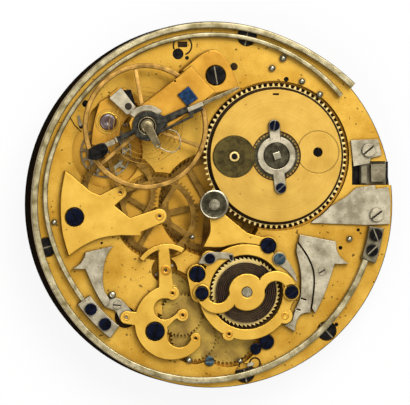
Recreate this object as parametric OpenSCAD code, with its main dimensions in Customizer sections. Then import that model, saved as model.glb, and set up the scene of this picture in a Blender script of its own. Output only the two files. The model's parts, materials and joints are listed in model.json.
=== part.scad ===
// Repeating pocket watch movement seen from the back: going train, lever escapement,
// striking train with two hammers and two wire gongs.
// Millimetres. X right and Y up as in the photo, Z toward the viewer. Rim rests on Z = 0, dial side down.

/* [Plate] */
// Outside diameter of the plate rim
plate_d = 45.8; // [45.4:0.1:46.4]
// Height of the rim, from the dial edge to the top face
plate_h = 6.0; // [5.9:0.1:6.6]
// Thickness of the rim wall outside the dial recess
rim_wall = 1.0; // [0.8:0.1:1.1]
// Depth of the recess that takes the dial
dial_recess = 1.0; // [0.8:0.1:1.1]
// Width of the ledge that the dial sits on
dial_seat = 1.2; // [1.0:0.1:1.4]
// Depth of the hollow behind the dial for the motion work
work_depth = 1.2; // [1.1:0.05:1.3]

/* [Bridges] */
// Thickness of the gilt bridges
bridge_t = 1.1; // [0.9:0.05:1.2]
// Thickness of the balance cock arm
cock_t = 0.7; // [0.6:0.05:0.8]

/* [Going train] */
// Height of the mainspring drum
drum_h = 2.6; // [2.2:0.1:2.65]
// Thickness of the brass train wheels
wheel_t = 0.28; // [0.22:0.02:0.32]
// Outside radius of the escape wheel
escape_r = 3.2; // [3.1:0.02:3.24]

/* [Balance] */
// Outside radius of the balance rim
balance_r = 7.85; // [7.6:0.05:7.95]
// Width of the balance rim
balance_rim = 0.66; // [0.5:0.02:0.8]
// Height of the balance rim
balance_t = 0.6; // [0.4:0.05:0.65]
// Turns of the hairspring
hairspring_turns = 7; // [5:1:7]

/* [Gongs] */
// Width of the gong wire
gong_w = 0.7; // [0.55:0.05:0.72]
// Height of the gong wire
gong_h = 0.7; // [0.5:0.05:0.8]
// Gap between the gong wire and the plate
gong_lift = 0.3; // [0.2:0.05:0.35]

/* [Fits] */
// Radial clearance of every pivot in its hole
pivot_clear = 0.04; // [0.03:0.01:0.06]
// Radial clearance around every screw shank
screw_clear = 0.02; // [0.02:0.01:0.04]
// Radial clearance of a wheel in its sink
sink_clear = 0.3; // [0.25:0.01:0.32]

/* [Hidden] */
$fn = 64;
plate_r = plate_d / 2;
top = plate_h;
recess_r = plate_r - rim_wall;
hollow_r = recess_r - dial_seat;
web_z = dial_recess + work_depth;
cut = 0.1;
pivot_r = 0.16;
hole_r = pivot_r + pivot_clear;
arbor_r = 0.24;

function polar(d, a) = d * [cos(a), sin(a)];
function dir_of(v) = atan2(v.y, v.x);
// Angle of the driven wheel that puts its gap against the driver's tooth on the line of centres
function mesh_phase(phase, driver, driven, dir) = dir + 180 - ((phase - dir) * driver + 180) / driven;
function module_for(d, a, b) = 2 * d / (a + b);

// Going train: centre in the middle of the plate, each arbor placed from the one before
centre_at = [0, 0];
barrel_at = polar(10.06, 37.3);
third_at = polar(6.95, 192);
fourth_at = third_at + polar(5.75, 148.9);
escape_at = fourth_at + polar(5.24, 106.6);
pallet_at = escape_at + polar(3.74, 90);
balance_at = [-8.72, 9.72];
barrel_teeth = 80;
centre_leaves = 10;
centre_teeth = 64;
third_leaves = 8;
third_teeth = 60;
fourth_leaves = 8;
fourth_teeth = 60;
escape_leaves = 6;
escape_teeth = 15;
barrel_m = module_for(norm(barrel_at), barrel_teeth, centre_leaves);
centre_m = module_for(norm(third_at), centre_teeth, third_leaves);
third_m = module_for(norm(fourth_at - third_at), third_teeth, fourth_leaves);
fourth_m = module_for(norm(escape_at - fourth_at), fourth_teeth, escape_leaves);

// Striking train: great wheel under the ring, then five arbors in a line to the fly
great_at = [4.15, -10.95];
second_at = [1.97, -16.19];
rear_at = [-2.24, -16.69];
upper_at = [-3.88, -13.81];
last_at = [-5.15, -11.06];
fly_at = [-6.03, -8.19];
great_teeth = 60;
second_leaves = 8;
second_teeth = 45;
strike_leaves = 6;
strike_teeth = 36;
great_m = module_for(norm(second_at - great_at), great_teeth, second_leaves);
second_m = module_for(norm(rear_at - second_at), second_teeth, strike_leaves);
rear_m = module_for(norm(upper_at - rear_at), strike_teeth, strike_leaves);
upper_m = module_for(norm(last_at - upper_at), strike_teeth, strike_leaves);
last_m = module_for(norm(fly_at - last_at), strike_teeth, strike_leaves);

// Motion work behind the dial
minute_at = polar(4.8, 255);
cannon_leaves = 12;
minute_teeth = 36;
minute_leaves = 10;
hour_teeth = 40;
cannon_m = module_for(norm(minute_at), cannon_leaves, minute_teeth);
hour_m = module_for(norm(minute_at), minute_leaves, hour_teeth);

// Tooth form in modules and parts of a pitch: addendum, dedendum, half width at pitch, half width at tip
WHEEL_FORM = [0.75, 1.0, 0.21, 0.07];
LEAF_FORM = [0.55, 1.05, 0.19, 0.09];
function tip_r(teeth, m, form) = teeth * m / 2 + form[0] * m;
function root_r(teeth, m, form) = teeth * m / 2 - form[1] * m;
barrel_tip = tip_r(barrel_teeth, barrel_m, WHEEL_FORM);
centre_tip = tip_r(centre_teeth, centre_m, WHEEL_FORM);
third_tip = tip_r(third_teeth, third_m, WHEEL_FORM);
fourth_tip = tip_r(fourth_teeth, fourth_m, WHEEL_FORM);
great_tip = tip_r(great_teeth, great_m, WHEEL_FORM);
second_tip = tip_r(second_teeth, second_m, WHEEL_FORM);
rear_tip = tip_r(strike_teeth, rear_m, WHEEL_FORM);
upper_tip = tip_r(strike_teeth, upper_m, WHEEL_FORM);
last_tip = tip_r(strike_teeth, last_m, WHEEL_FORM);

// Levels, measured from the top face of the plate
centre_z = top - 3.05;
third_z = top - 1.15;
fourth_z = top - 0.55;
escape_z = top - 1.35;
strike_low_z = top - 1.5;
strike_mid_z = top - 1.0;
strike_high_z = top - 0.5;
drum_z = top - 2.35;
flange_z = top - 0.85;
flange_h = 0.65;
lid_z = drum_z + drum_h;
lid_t = 0.4;
lid_top = lid_z + lid_t;
pallet_cock_t = 0.7;
stud_t = 0.35;
hairspring_z = top + 1.2;
hairspring_h = 0.35;
balance_z = top + 1.9;
cock_z = top + 2.75;
cock_top = cock_z + cock_t;
foot_top = top + 2.95;
gong_z = top + gong_lift;
bridge_top = top + bridge_t;

// Floors of the sinks in the top of the plate
deep_floor = top - 3.25;
drum_floor = drum_z - 0.1;
flange_floor = flange_z - 0.15;
third_floor = third_z - 0.2;
fourth_floor = fourth_z - 0.25;
escape_floor = escape_z - 0.25;
strike_floor = strike_low_z - 0.25;
great_floor = strike_high_z - 0.3;
drum_r = 8.3;
escape_sink_r = 4.45;
well_r = 1.15;
roller_well_r = 1.7;
fly_sink_r = 1.65;
SINKS = [
    [barrel_at, drum_r + sink_clear, drum_floor],
    [barrel_at, barrel_tip + sink_clear, flange_floor],
    [centre_at, centre_tip + sink_clear, deep_floor],
    [third_at, well_r, deep_floor],
    [third_at, third_tip + sink_clear, third_floor],
    [fourth_at, fourth_tip + sink_clear, fourth_floor],
    [fourth_at, well_r, third_floor - 0.2],
    [escape_at, escape_sink_r, escape_floor],
    [pallet_at, 2.4, escape_floor],
    [balance_at, roller_well_r, escape_floor],
    [great_at, great_tip + sink_clear, great_floor],
    [second_at, second_tip + sink_clear, strike_floor],
    [rear_at, rear_tip + sink_clear, strike_floor],
    [upper_at, upper_tip + sink_clear, strike_floor],
    [last_at, last_tip + sink_clear, strike_floor],
    [fly_at, fly_sink_r, strike_floor]
];

// Pivots in the plate: place and floor of the sink that the arbor stands on
PIVOTS = [
    [third_at, deep_floor],
    [fourth_at, third_floor - 0.2],
    [escape_at, escape_floor],
    [pallet_at, escape_floor],
    [balance_at, escape_floor],
    [second_at, strike_floor],
    [rear_at, strike_floor],
    [upper_at, strike_floor],
    [last_at, strike_floor],
    [fly_at, strike_floor]
];
pivot_l = 0.4;

// Gongs: radius where the wire leaves its block, middle radius of the block, and the block's size
outer_gong_r = plate_r - 2.35;
inner_gong_r = plate_r - 2.7;
outer_block_r = outer_gong_r + 0.35;
inner_block_r = inner_gong_r - 0.05;
gong_block_w = 1.9;
gong_block_h = 1.1;

// Screws: place, head radius, seat height, slot angle, shank length where it differs
head_h = 0.45;
slot_w = 0.2;
slot_depth = 0.2;
shank_l = 1.4;
cock_shank_l = 4;
short_shank_l = 0.8;
function shank(s) = len(s) > 4 ? s[4] : shank_l;
LARGE_SCREWS = [
    [[-17.47, -1.56], 1.1, bridge_top - 0.15, 118],
    [[-7.36, -15.81], 1.1, bridge_top - 0.15, 25],
    [[6.9, -5.19], 0.95, bridge_top - 0.15, 60],
    [[-2.07, -8.69], 0.94, bridge_top - 0.15, 100],
    [[6.84, -17.19], 0.94, top - 0.1, 35],
    [[0, 16.06], 1.15, foot_top - 0.15, 150, cock_shank_l]
];
SMALL_SCREWS = [
    [[-1.63, -11.06], 0.8, bridge_top + 0.6, 15],
    [[9.75, -10.94], 0.8, bridge_top + 0.6, 75],
    [[-0.55, -6.75], 0.64, bridge_top + 0.35, 140],
    [[8.29, -6.81], 0.7, bridge_top + 0.35, 30],
    [[5.45, -18.06], 0.7, top - 0.1, 110, short_shank_l],
    [[-0.36, -19.56], 0.6, top - 0.1, 160, short_shank_l],
    [polar(outer_block_r, -10.45), 0.8, top + gong_block_h, 20],
    [polar(outer_block_r, -15.93), 0.75, top + gong_block_h, 130],
    [polar(inner_block_r, 220.1), 0.75, top + gong_block_h, 55],
    [polar(inner_block_r, 227.4), 0.78, top + gong_block_h, 165]
];
STEEL_SCREWS = [
    [[19.75, 6.81], 0.85, top + 0.45, 40],
    [[20.77, -1.31], 0.85, top + 0.45, 100],
    [[-10.15, 12.06], 0.6, top + pallet_cock_t - 0.05, 65]
];
case_screw_r = 1.15;
CASE_SCREW_ANGLES = [78.2, 194.3, -47.5, -78.9];
case_screw_reach = plate_r - 1.4;

// Small steel pins and blind holes of the top face: place and radius
PINS = [
    [[7.56, 17.06], 0.4],
    [[8.95, 18.31], 0.42],
    [[11.35, 15.44], 0.38],
    [[13.62, 13.81], 0.38],
    [[17.41, -4.31], 0.36],
    [[-19.9, -2.19], 0.34],
    [[-2.95, -19.44], 0.36],
    [[3.51, -19.56], 0.32],
    [[-2.55, -4.06], 0.3]
];
pin_h = 0.4;
HOLES = [
    [[9.39, 15.69], 0.31],
    [[16.28, -5.44], 0.25],
    [[18.55, -3.19], 0.21],
    [[-13.93, -4.81], 0.16],
    [[15.77, -15.06], 0.25],
    [[-4.32, 18.81], 0.69],
    [[-3.19, 18.31], 0.25],
    [[-15.95, 12.56], 0.44]
];
hole_depth = 0.8;

// Hand-drawn outlines in the plan view
CENTRE_BRIDGE_OUTLINE = [
    [-0.6, -1.5], [-0.45, -2.2], [-0.45, -3.5], [-1.3, -5.3], [0.9, -5.35], [2.2, -5.05], [4.15, -4.85],
    [6.2, -5.2], [7.6, -5.85], [8.6, -6.6], [9.9, -7.6], [10.55, -6.2], [10.2, -5.0], [10.45, -3.6],
    [7.4, -3.45], [4.5, -3.75], [3.35, -3.1], [1.7, -1.2]
];
GOING_BRIDGE_OUTLINE = [
    [-18.93, 4.56], [-16.65, 2.9], [-14.38, 1.19], [-12.4, 2.15], [-11.0, 0.7], [-12.48, -0.19], [-10.46, -1.56],
    [-7.9, -0.85], [-6.4, -2.35], [-9.19, -3.44], [-9.19, -3.94], [-11.6, -3.94], [-14.38, -4.44],
    [-16.52, -5.44], [-18.17, -6.44], [-19.05, -3.81], [-19.31, -1.31], [-19.18, 1.81]
];
LEFT_HAMMER_OUTLINE = [
    [-13.01, -5.31], [-12.75, -5.94], [-13.51, -7.19], [-13.89, -8.81], [-13.77, -10.44], [-13.01, -11.81],
    [-13.51, -12.94], [-14.52, -11.56], [-15.53, -9.44], [-15.91, -7.94], [-17.81, -7.94], [-16.8, -7.19],
    [-16.04, -5.94], [-15.79, -5.69]
];
RIGHT_HAMMER_OUTLINE = [
    [11.05, -3.81], [15.3, -4.69], [15.56, -5.69], [16.06, -6.56], [17.2, -7.44], [15.43, -7.69], [14.55, -10.06],
    [13.79, -11.94], [12.9, -13.44], [12.3, -13.44], [12.8, -11.56], [12.92, -9.44], [12.67, -7.81], [11.91, -5.94]
];
HAMMER_SPRING_OUTLINE = [
    [10.75, -4.6], [11.68, -5.94], [12.44, -7.81], [12.69, -9.44], [12.57, -11.56], [12.0, -13.2],
    [10.9, -14.3], [10.37, -15.94], [8.98, -15.06], [10.0, -14.19], [10.4, -13.19], [11.2, -11.94],
    [11.45, -10.44], [11.5, -8.81], [11.2, -7.19], [10.75, -5.9]
];
UPPER_PLATE_OUTLINE = [[17.54, 8.06], [21.0, 8.19], [21.46, 6.19], [20.07, 5.81], [19.94, 5.19], [17.9, 4.81]];
LOWER_PLATE_OUTLINE = [
    [18.17, 2.06], [20.57, 2.44], [20.7, 1.94], [22.3, 2.19], [22.6, 0.56], [22.5, -2.44],
    [19.69, -2.56], [12.49, -2.31], [13.6, -1.0], [17.0, 1.0]
];

// Centres and sizes of the striking work's bridges
hammer_lug_at = [-10.96, -14.06];
hammer_ear_at = [9.05, -13.94];
ring_r = 6.0;
ring_hole_r = 4.63;
ratchet_r = 4.42;
ratchet_teeth = 50;
hub_r = 2.3;
s_bridge_t = 0.6;
click_at = SMALL_SCREWS[2][0];
click_t = 0.33;
strike_body_at = [-5.28, -14.69];
strike_body_r = 4.5;
STRIKE_NECK_OUTLINE = [[-6.64, -11.2], [-4.87, -10.9], [-5.35, -7.56], [-5.75, -5.3], [-7.14, -5.4], [-6.85, -9.0]];

// Winding arbor, regulator and slide
barrel_arbor_r = 1.0;
lid_sink_r = 3.1;
lid_sink = 0.18;
regulator_dir = 23.7;
regulator_z = cock_top + 0.03;
regulator_t = 0.32;
slide_y = 3.95;
slide_slot_w = 3.0;
slot_x = 17.75;
slot_floor = top - 1.5;
slide_clear = 0.06;

centre_arbor_r = 0.5;
strike_arbor_r = 1.2;
strike_pivot_r = 0.6;
hammer_arbor_r = 0.4;
hammer_z = top + 0.1;
hammer_t = 0.85;
right_pivot_at = [13.0, -12.5];
stud_r = 0.45;
snail_at = polar(9.5, 150);
DIAL_FEET = [97, 217, 337];
dial_foot_reach = 13.9;
dial_foot_r = 0.6;
PALLET_COCK_OUTLINE = [[-15.3, 7.44], [-14.9, 10.56], [-14.3, 12.7], [-12.65, 13.7], [-10.9, 14.7], [-9.3, 16.2],
    [-7.2, 14.6], [-8.6, 12.9], [-10.2, 12.0], [-11.5, 9.94], [-11.8, 8.6]];
STOP_PIN = [[-12.69, -11.25], 0.44];
jewel_r = 1.0;
hairspring_r = 5.0;
hairspring_w = 0.14;
stud_post_at = balance_at + polar(hairspring_r + 0.35, 137);
STUD_PLATE_OUTLINE = [[-12.9, 13.2], [-12.5, 13.8], [-10.8, 14.4], [-9.15, 12.2], [-10.2, 10.7]];
cock_dir = 38.9;
cock_w = 4.9;
cock_l = 9.2;
COCK_FOOT_OUTLINE = [[-3.85, 17.0], [-3.2, 18.0], [-1.9, 18.9], [-0.44, 19.3], [0.82, 18.9], [2.1, 17.06],
    [2.84, 15.56], [2.84, 14.56], [-0.06, 13.7], [-0.7, 13.15]];
ENDSTONE_SPRING = [[1.3, -2.2], [2.2, -3.0], [3.3, -3.2], [4.05, -2.5], [4.1, -1.5], [3.6, -0.7], [2.7, -0.4]];

// Flat outline raised from z by h
module slab(z, h) {
    translate([0, 0, z]) linear_extrude(h) children();
}

// Round rod on a plan point between two heights
module rod(at, r, z0, z1) {
    translate([at.x, at.y, z0]) cylinder(r = r, h = z1 - z0);
}

// Straight bar with round ends that stand a hair proud of its sides
end_swell = 0.02;
module bar(a, b, w) {
    d = b - a;
    flat_w = w - end_swell;
    translate(a) circle(d = w);
    translate(b) circle(d = w);
    translate(a) rotate(dir_of(d)) translate([0, -flat_w / 2]) square([norm(d), flat_w]);
}

// Toothed outline
module gear(teeth, m, form, phase) {
    r = teeth * m / 2;
    pitch = 360 / teeth;
    polygon([for (k = [0 : teeth - 1]) for (p = [
        [r - form[1] * m, -form[2] - 0.02],
        [r, -form[2]],
        [r + form[0] * m, -form[3]],
        [r + form[0] * m, form[3]],
        [r, form[2]],
        [r - form[1] * m, form[2] + 0.02]]) polar(p[0], phase + (k + p[1]) * pitch)]);
}

// Spoked train wheel with a bored hub
module crossed_wheel(at, z, teeth, m, phase, spokes, bore) {
    root = root_r(teeth, m, WHEEL_FORM);
    rim = root - 0.14 * root;
    hub = max(0.16 * root, bore + 0.3);
    spoke_w = 0.13 * root;
    translate(at) slab(z, wheel_t) difference() {
        union() {
            difference() {
                gear(teeth, m, WHEEL_FORM, phase);
                circle(r = rim);
            }
            circle(r = hub);
            for (k = [0 : spokes - 1])
                rotate(phase + k * 360 / spokes) translate([hub / 2, -spoke_w / 2]) square([rim, spoke_w]);
        }
        circle(r = bore);
    }
}

// Arbor standing between a sink floor and a bridge, with a pivot at each end
module arbor(at, floor_z) {
    rod(at, arbor_r, floor_z + 0.05, top - 0.05);
    rod(at, pivot_r, floor_z - pivot_l, floor_z + 0.1);
    rod(at, pivot_r, top - 0.1, top + 0.6);
}

// Leaves of a pinion
module leaves(at, z, h, teeth, m, phase) {
    translate(at) slab(z, h) gear(teeth, m, LEAF_FORM, phase);
}

// Slotted cheese-head screws from a list
module screws(list) {
    for (s = list) {
        difference() {
            rod(s[0], s[1], s[2], s[2] + head_h);
            translate([s[0].x, s[0].y, s[2] + head_h]) rotate(s[3])
                cube([3 * s[1], slot_w, 2 * slot_depth], center = true);
        }
        rod(s[0], s[1] / 2, s[2] - shank(s), s[2] + cut);
    }
}

// Room for those screws: shank hole and head counterbore
module screw_room(list) {
    for (s = list) {
        rod(s[0], s[1] / 2 + screw_clear, s[2] - shank(s) - cut, s[2] + cut);
        rod(s[0], s[1] + 0.08, s[2], s[2] + 3);
    }
}

module all_screw_room() {
    screw_room(LARGE_SCREWS);
    screw_room(SMALL_SCREWS);
    screw_room(STEEL_SCREWS);
}

// Through holes for the upper pivots
module pivot_room(places) {
    for (p = places)
        rod(p, hole_r, top - cut, top + 3.4);
}

// Part of a flat ring between two angles
module ring_part(r0, r1, a0, a1, steps = 24) {
    polygon([
        for (k = [0 : steps]) polar(r1, a0 + (a1 - a0) * k / steps),
        for (k = [steps : -1 : 0]) polar(r0, a0 + (a1 - a0) * k / steps)
    ]);
}

// Flat spiral strip: points on its middle line, and the strip itself
function spiral_points(r0, r1, turns, start, steps = 36) =
    [for (k = [0 : turns * steps]) polar(r0 + (r1 - r0) * k / (turns * steps), start + 360 * k / steps)];
function spiral_gap(points, w, steps = 36) =
    min([for (k = [0 : len(points) - steps - 1]) norm(points[k + steps] - points[k])]) - w;
module strip(points, w) {
    n = len(points) - 1;
    normals = [for (k = [0 : n])
        let (d = points[min(k + 1, n)] - points[max(k - 1, 0)]) [-d.y, d.x] / norm(d)];
    polygon([
        for (k = [0 : n]) points[k] + normals[k] * w / 2,
        for (k = [n : -1 : 0]) points[k] - normals[k] * w / 2
    ]);
}

// Middle line of a gong: a radius that eases outward over some degrees as it runs clockwise from its block
function gong_points(r0, r1, start, sweep, ease, steps = 96) = [for (k = [0 : steps])
    let (t = sweep * k / steps)
    polar(r0 + (r1 - r0) * (1 - cos(180 * min(t / ease, 1))) / 2, start - t)];
outer_wire = gong_points(outer_gong_r, plate_r - 0.45, -19, 299, 110);
inner_wire = gong_points(inner_gong_r, plate_r - 1.65, 217, 177, 50);

// Plate

module main_plate() color("#c99d3c") difference() {
    cylinder(r = plate_r, h = plate_h, $fn = 128);
    translate([0, 0, -cut]) cylinder(r = recess_r, h = dial_recess + cut, $fn = 128);
    cylinder(r = hollow_r, h = web_z, $fn = 128);
    for (s = SINKS)
        rod(s[0], s[1], s[2], top + cut);
    for (p = PIVOTS)
        rod(p[0], hole_r, p[1] - pivot_l - 0.05, top);
    slab(escape_floor, 2) bar(pallet_at, balance_at, 2.6);
    rod(centre_at, centre_arbor_r + pivot_clear, 0, top);
    rod(barrel_at, barrel_arbor_r + pivot_clear, 0, top);
    rod(great_at, strike_pivot_r + pivot_clear, web_z + 0.6, top);
    rod(hammer_lug_at, 1.35, top - 0.4, top + cut);
    rod(hammer_lug_at, hammer_arbor_r + pivot_clear, top - 1.7, top);
    rod(right_pivot_at, hammer_arbor_r, top - 1.5, top + cut);
    for (p = [minute_at, snail_at])
        rod(p, stud_r + screw_clear, web_z - cut, web_z + 0.75);
    for (a = CASE_SCREW_ANGLES) {
        rod(polar(case_screw_reach, a), case_screw_r + 0.12, top - 0.5, top + cut);
        rod(polar(case_screw_reach, a), case_screw_r / 2 + screw_clear, top - 2.6, top);
    }
    for (a = DIAL_FEET)
        rod(polar(dial_foot_reach, a), dial_foot_r, web_z - cut, web_z + 2);
    for (p = PINS)
        rod(p[0], p[1], top - 0.6, top + cut);
    rod(STOP_PIN[0], STOP_PIN[1], top - 0.6, top + cut);
    for (h = HOLES)
        rod(h[0], h[1], top - hole_depth, top + cut);
    translate([slot_x, slide_y - slide_slot_w / 2, slot_floor]) cube([8, slide_slot_w, 3]);
    all_screw_room();
}

module plate_pins() color("#c9c4b4") {
    for (p = PINS)
        rod(p[0], p[1], top - 0.6, top + pin_h);
    rod(STOP_PIN[0], STOP_PIN[1], top - 0.6, top + 0.9);
    rod(right_pivot_at, hammer_arbor_r, top - 1.5, hammer_z + hammer_t);
    for (p = [minute_at, snail_at])
        rod(p, stud_r, web_z - 0.95, web_z + 0.7);
}

module case_screws() color("#14182e") for (a = CASE_SCREW_ANGLES) {
    at = polar(case_screw_reach, a);
    difference() {
        rod(at, case_screw_r, top - 0.5, top + 0.1);
        translate([at.x, at.y, top + 0.1]) rotate(a + 30) cube([3, slot_w, 0.4], center = true);
    }
    rod(at, case_screw_r / 2, top - 2.5, top - 0.4);
}

// Bridges and cocks

module going_bridge() color("#e2b24a") difference() {
    union() {
        slab(top, bridge_t) polygon(GOING_BRIDGE_OUTLINE);
        slab(top, bridge_t) bar([-13.2, 0.5], fourth_at, 1.9);
        slab(top, bridge_t) bar([-10, -2.6], third_at, 1.9);
    }
    rod(escape_at, 4.55, top - cut, bridge_top + cut);
    rod([-11.5, -15], 10.95, top - cut, bridge_top + cut);
    pivot_room([third_at, fourth_at]);
    screw_room(LARGE_SCREWS);
}

module centre_bridge() color("#e2b24a") difference() {
    slab(top, bridge_t) difference() {
        union() {
            polygon(CENTRE_BRIDGE_OUTLINE);
            circle(r = 1.45);
        }
        translate(great_at) circle(r = ring_r + 0.06);
    }
    rod(centre_at, centre_arbor_r + pivot_clear, top - cut, bridge_top + cut);
    all_screw_room();
}

module pallet_cock() color("#e2b24a") difference() {
    union() {
        slab(top, pallet_cock_t) polygon(PALLET_COCK_OUTLINE);
        slab(top, pallet_cock_t) bar(pallet_at, escape_at, 1.6);
    }
    rod(pallet_at, jewel_r, top + 0.25, top + 2);
    pivot_room([pallet_at, escape_at]);
    screw_room(STEEL_SCREWS);
}

module pallet_jewel() color("#b03a48") difference() {
    rod(pallet_at, jewel_r, top + 0.25, top + pallet_cock_t + 0.06);
    pivot_room([pallet_at]);
}

module stud_plate() color("#b9b3a0") difference() {
    union() {
        slab(top + pallet_cock_t, stud_t) polygon(STUD_PLATE_OUTLINE);
        slab(top + pallet_cock_t, stud_t) bar(STEEL_SCREWS[2][0], stud_post_at, 1.2);
        rod(stud_post_at, 0.28, top + pallet_cock_t, hairspring_z + hairspring_h);
    }
    screw_room(STEEL_SCREWS);
}

module balance_cock() color("#e2b24a") difference() {
    union() {
        slab(top, foot_top - top) polygon(COCK_FOOT_OUTLINE);
        slab(cock_z, cock_t) {
            translate(balance_at) circle(r = 2.2);
            translate(balance_at) rotate(cock_dir) translate([0, -cock_w / 2]) square([cock_l, cock_w]);
        }
    }
    rod(balance_at, hole_r, cock_z - cut, cock_top + cut);
    screw_room(LARGE_SCREWS);
}

module endstone_cap() color("#b9b3a0") {
    rod(balance_at, 1.0, cock_top, cock_top + 0.6);
    slab(cock_top + 0.42, 0.18) translate(balance_at) {
        bar([0, 0], [1.39, -2.3], 0.7);
        strip(ENDSTONE_SPRING, 0.2);
    }
}

module strike_bridge() color("#e2b24a") difference() {
    union() {
        difference() {
            rod(strike_body_at, strike_body_r, top, bridge_top);
            slab(top - cut, bridge_t + 2 * cut) translate([-5.9, -16.69]) square(10);
        }
        slab(top, bridge_t) bar([-6.4, -11.4], last_at, 1.88);
        slab(top, bridge_t) bar([-6.4, -14.6], upper_at, 1.62);
        rod(rear_at, 0.75, top, bridge_top);
        slab(top, bridge_t) bar([-9, -14.3], hammer_lug_at, 1.76);
        slab(top, bridge_t) polygon(STRIKE_NECK_OUTLINE);
        slab(top, bridge_t) translate([-5.85, -9.03]) ring_part(3.5, 4.15, 58, 146);
    }
    rod([-6.41, -12.94], 1.25, top - cut, bridge_top + cut);
    rod([-4.39, -16.19], 1.5, top - cut, bridge_top + cut);
    rod(hammer_lug_at, 1.35, top - cut, top + 0.72);
    rod(hammer_lug_at, pivot_r + pivot_clear, top, bridge_top + cut);
    pivot_room([rear_at, upper_at, last_at, fly_at]);
    screw_room(LARGE_SCREWS);
}

module spring_ring() color("#e2b24a") difference() {
    slab(top, bridge_t) difference() {
        union() {
            translate(great_at) circle(r = ring_r);
            bar(SMALL_SCREWS[0][0], LARGE_SCREWS[3][0], 2.5);
            bar([8.6, -12.6], SMALL_SCREWS[1][0], 2.2);
            bar([8, -13], hammer_ear_at, 2.0);
            bar([1.2, -7.2], click_at, 2.0);
        }
        translate(great_at) circle(r = ring_hole_r);
    }
    pivot_room([second_at]);
    all_screw_room();
}

module spring_bridge() color("#e2b24a") difference() {
    slab(bridge_top, s_bridge_t) translate(great_at) {
        circle(r = hub_r);
        for (turn = [0, 180])
            rotate(turn) {
                translate([3.67, 0]) ring_part(1.19, 2.7, -4, 160);
                translate([5.65, 0]) circle(r = 1.05);
            }
    }
    rod(great_at, strike_pivot_r + pivot_clear, bridge_top - cut, bridge_top + s_bridge_t + cut);
    screw_room(SMALL_SCREWS);
}

// Gongs, slide plates, fixed springs and screws

module outer_gong() color("#c9bfa3") difference() {
    union() {
        slab(gong_z, gong_h) strip(outer_wire, gong_w);
        slab(top, gong_block_h) ring_part(outer_block_r - gong_block_w / 2, outer_block_r + gong_block_w / 2, -19.8, -7.8, 6);
    }
    screw_room(SMALL_SCREWS);
}

module inner_gong() color("#c9bfa3") difference() {
    union() {
        slab(gong_z, gong_h) strip(inner_wire, gong_w);
        slab(top, gong_block_h) ring_part(inner_block_r - gong_block_w / 2, inner_block_r + gong_block_w / 2, 216, 232, 6);
    }
    screw_room(SMALL_SCREWS);
}

module slide_plate_upper() color("#b9b3a0") difference() {
    slab(top, 0.45) polygon(UPPER_PLATE_OUTLINE);
    screw_room(STEEL_SCREWS);
}

module slide_plate_lower() color("#b9b3a0") difference() {
    slab(top, 0.45) difference() {
        polygon(LOWER_PLATE_OUTLINE);
        translate(barrel_at) circle(r = barrel_tip + sink_clear);
    }
    screw_room(STEEL_SCREWS);
}

module click_spring() color("#b9b3a0") difference() {
    union() {
        slab(bridge_top, click_t) strip([[8.29, -6.81], [9.4, -7.2], [10.1, -8.1], [10.4, -9.2]], 0.45);
        rod(SMALL_SCREWS[3][0], 0.85, bridge_top, bridge_top + click_t);
    }
    screw_room(SMALL_SCREWS);
}

module hammer_spring() color("#a9a391") slab(top, 0.8) difference() {
    polygon(HAMMER_SPRING_OUTLINE);
    translate(right_pivot_at) circle(r = 0.92);
    translate(hammer_ear_at) circle(r = 1.08);
}

module large_screws() color("#27406e") screws(LARGE_SCREWS);

module small_screws() color("#1b2440") screws(SMALL_SCREWS);

module steel_screws() color("#c4bda8") screws(STEEL_SCREWS);

// Barrel

barrel_phase = dir_of(centre_at - barrel_at);
COLLAR_SCREWS = [
    [barrel_at + [-0.31, 3.78], 0.65, lid_top + 0.38, 80, 0.72],
    [barrel_at + [0.5, -4.04], 0.63, lid_top + 0.38, 20, 0.72]
];
stop_at = barrel_at + [-5.6, -0.1];
stop_r = 2.4;
stop_sink = 0.15;
scribed_at = barrel_at + [5.3, 0.46];

module barrel_drum() color("#cfa23a") difference() {
    union() {
        rod(barrel_at, drum_r, drum_z, lid_z);
        translate(barrel_at) slab(flange_z, flange_h) gear(barrel_teeth, barrel_m, WHEEL_FORM, barrel_phase);
    }
    rod(barrel_at, drum_r - 0.5, drum_z + 0.35, lid_z + cut);
    rod(barrel_at, barrel_arbor_r + pivot_clear, drum_z - cut, lid_z);
}

module barrel_lid() color("#d9ac48") difference() {
    rod(barrel_at, drum_r, lid_z, lid_top);
    rod(barrel_at, barrel_arbor_r + pivot_clear, lid_z - cut, lid_top + cut);
    rod(barrel_at, lid_sink_r, lid_top - lid_sink, lid_top + cut);
    rod(stop_at, stop_r + 0.08, lid_top - stop_sink, lid_top + cut);
    translate(scribed_at) slab(lid_top - 0.1, 0.2) difference() {
        circle(r = 2.72);
        circle(r = 2.58);
    }
    rod(scribed_at, 0.6, lid_z - cut, lid_top + cut);
    translate([barrel_at.x - 0.04, barrel_at.y + 7.7, lid_z]) cube([0.75, 0.25, 2], center = true);
    screw_room(COLLAR_SCREWS);
}

mainspring_path = spiral_points(1.75, drum_r - 0.75, 8, 20);

module mainspring() color("#3a4256")
    translate(barrel_at) slab(drum_z + 0.45, drum_h - 0.6) strip(mainspring_path, 0.2);

module barrel_collar() color("#b9b3a0") difference() {
    slab(lid_top, 0.38) difference() {
        union() {
            translate(barrel_at) circle(r = 2.44);
            for (s = COLLAR_SCREWS)
                bar(barrel_at, s[0], 1.5);
        }
        translate(barrel_at) circle(r = 1.63);
    }
    screw_room(COLLAR_SCREWS);
}

module collar_screws() color("#1b2440") screws(COLLAR_SCREWS);

module stop_disc() color("#5a4326") difference() {
    union() {
        rod(stop_at, stop_r, lid_top - stop_sink, lid_top + 0.04);
        rod(stop_at, 0.62, lid_top, lid_top + 0.3);
    }
    rod(stop_at, 0.38, lid_top - 0.02, lid_top + 1);
}

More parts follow.
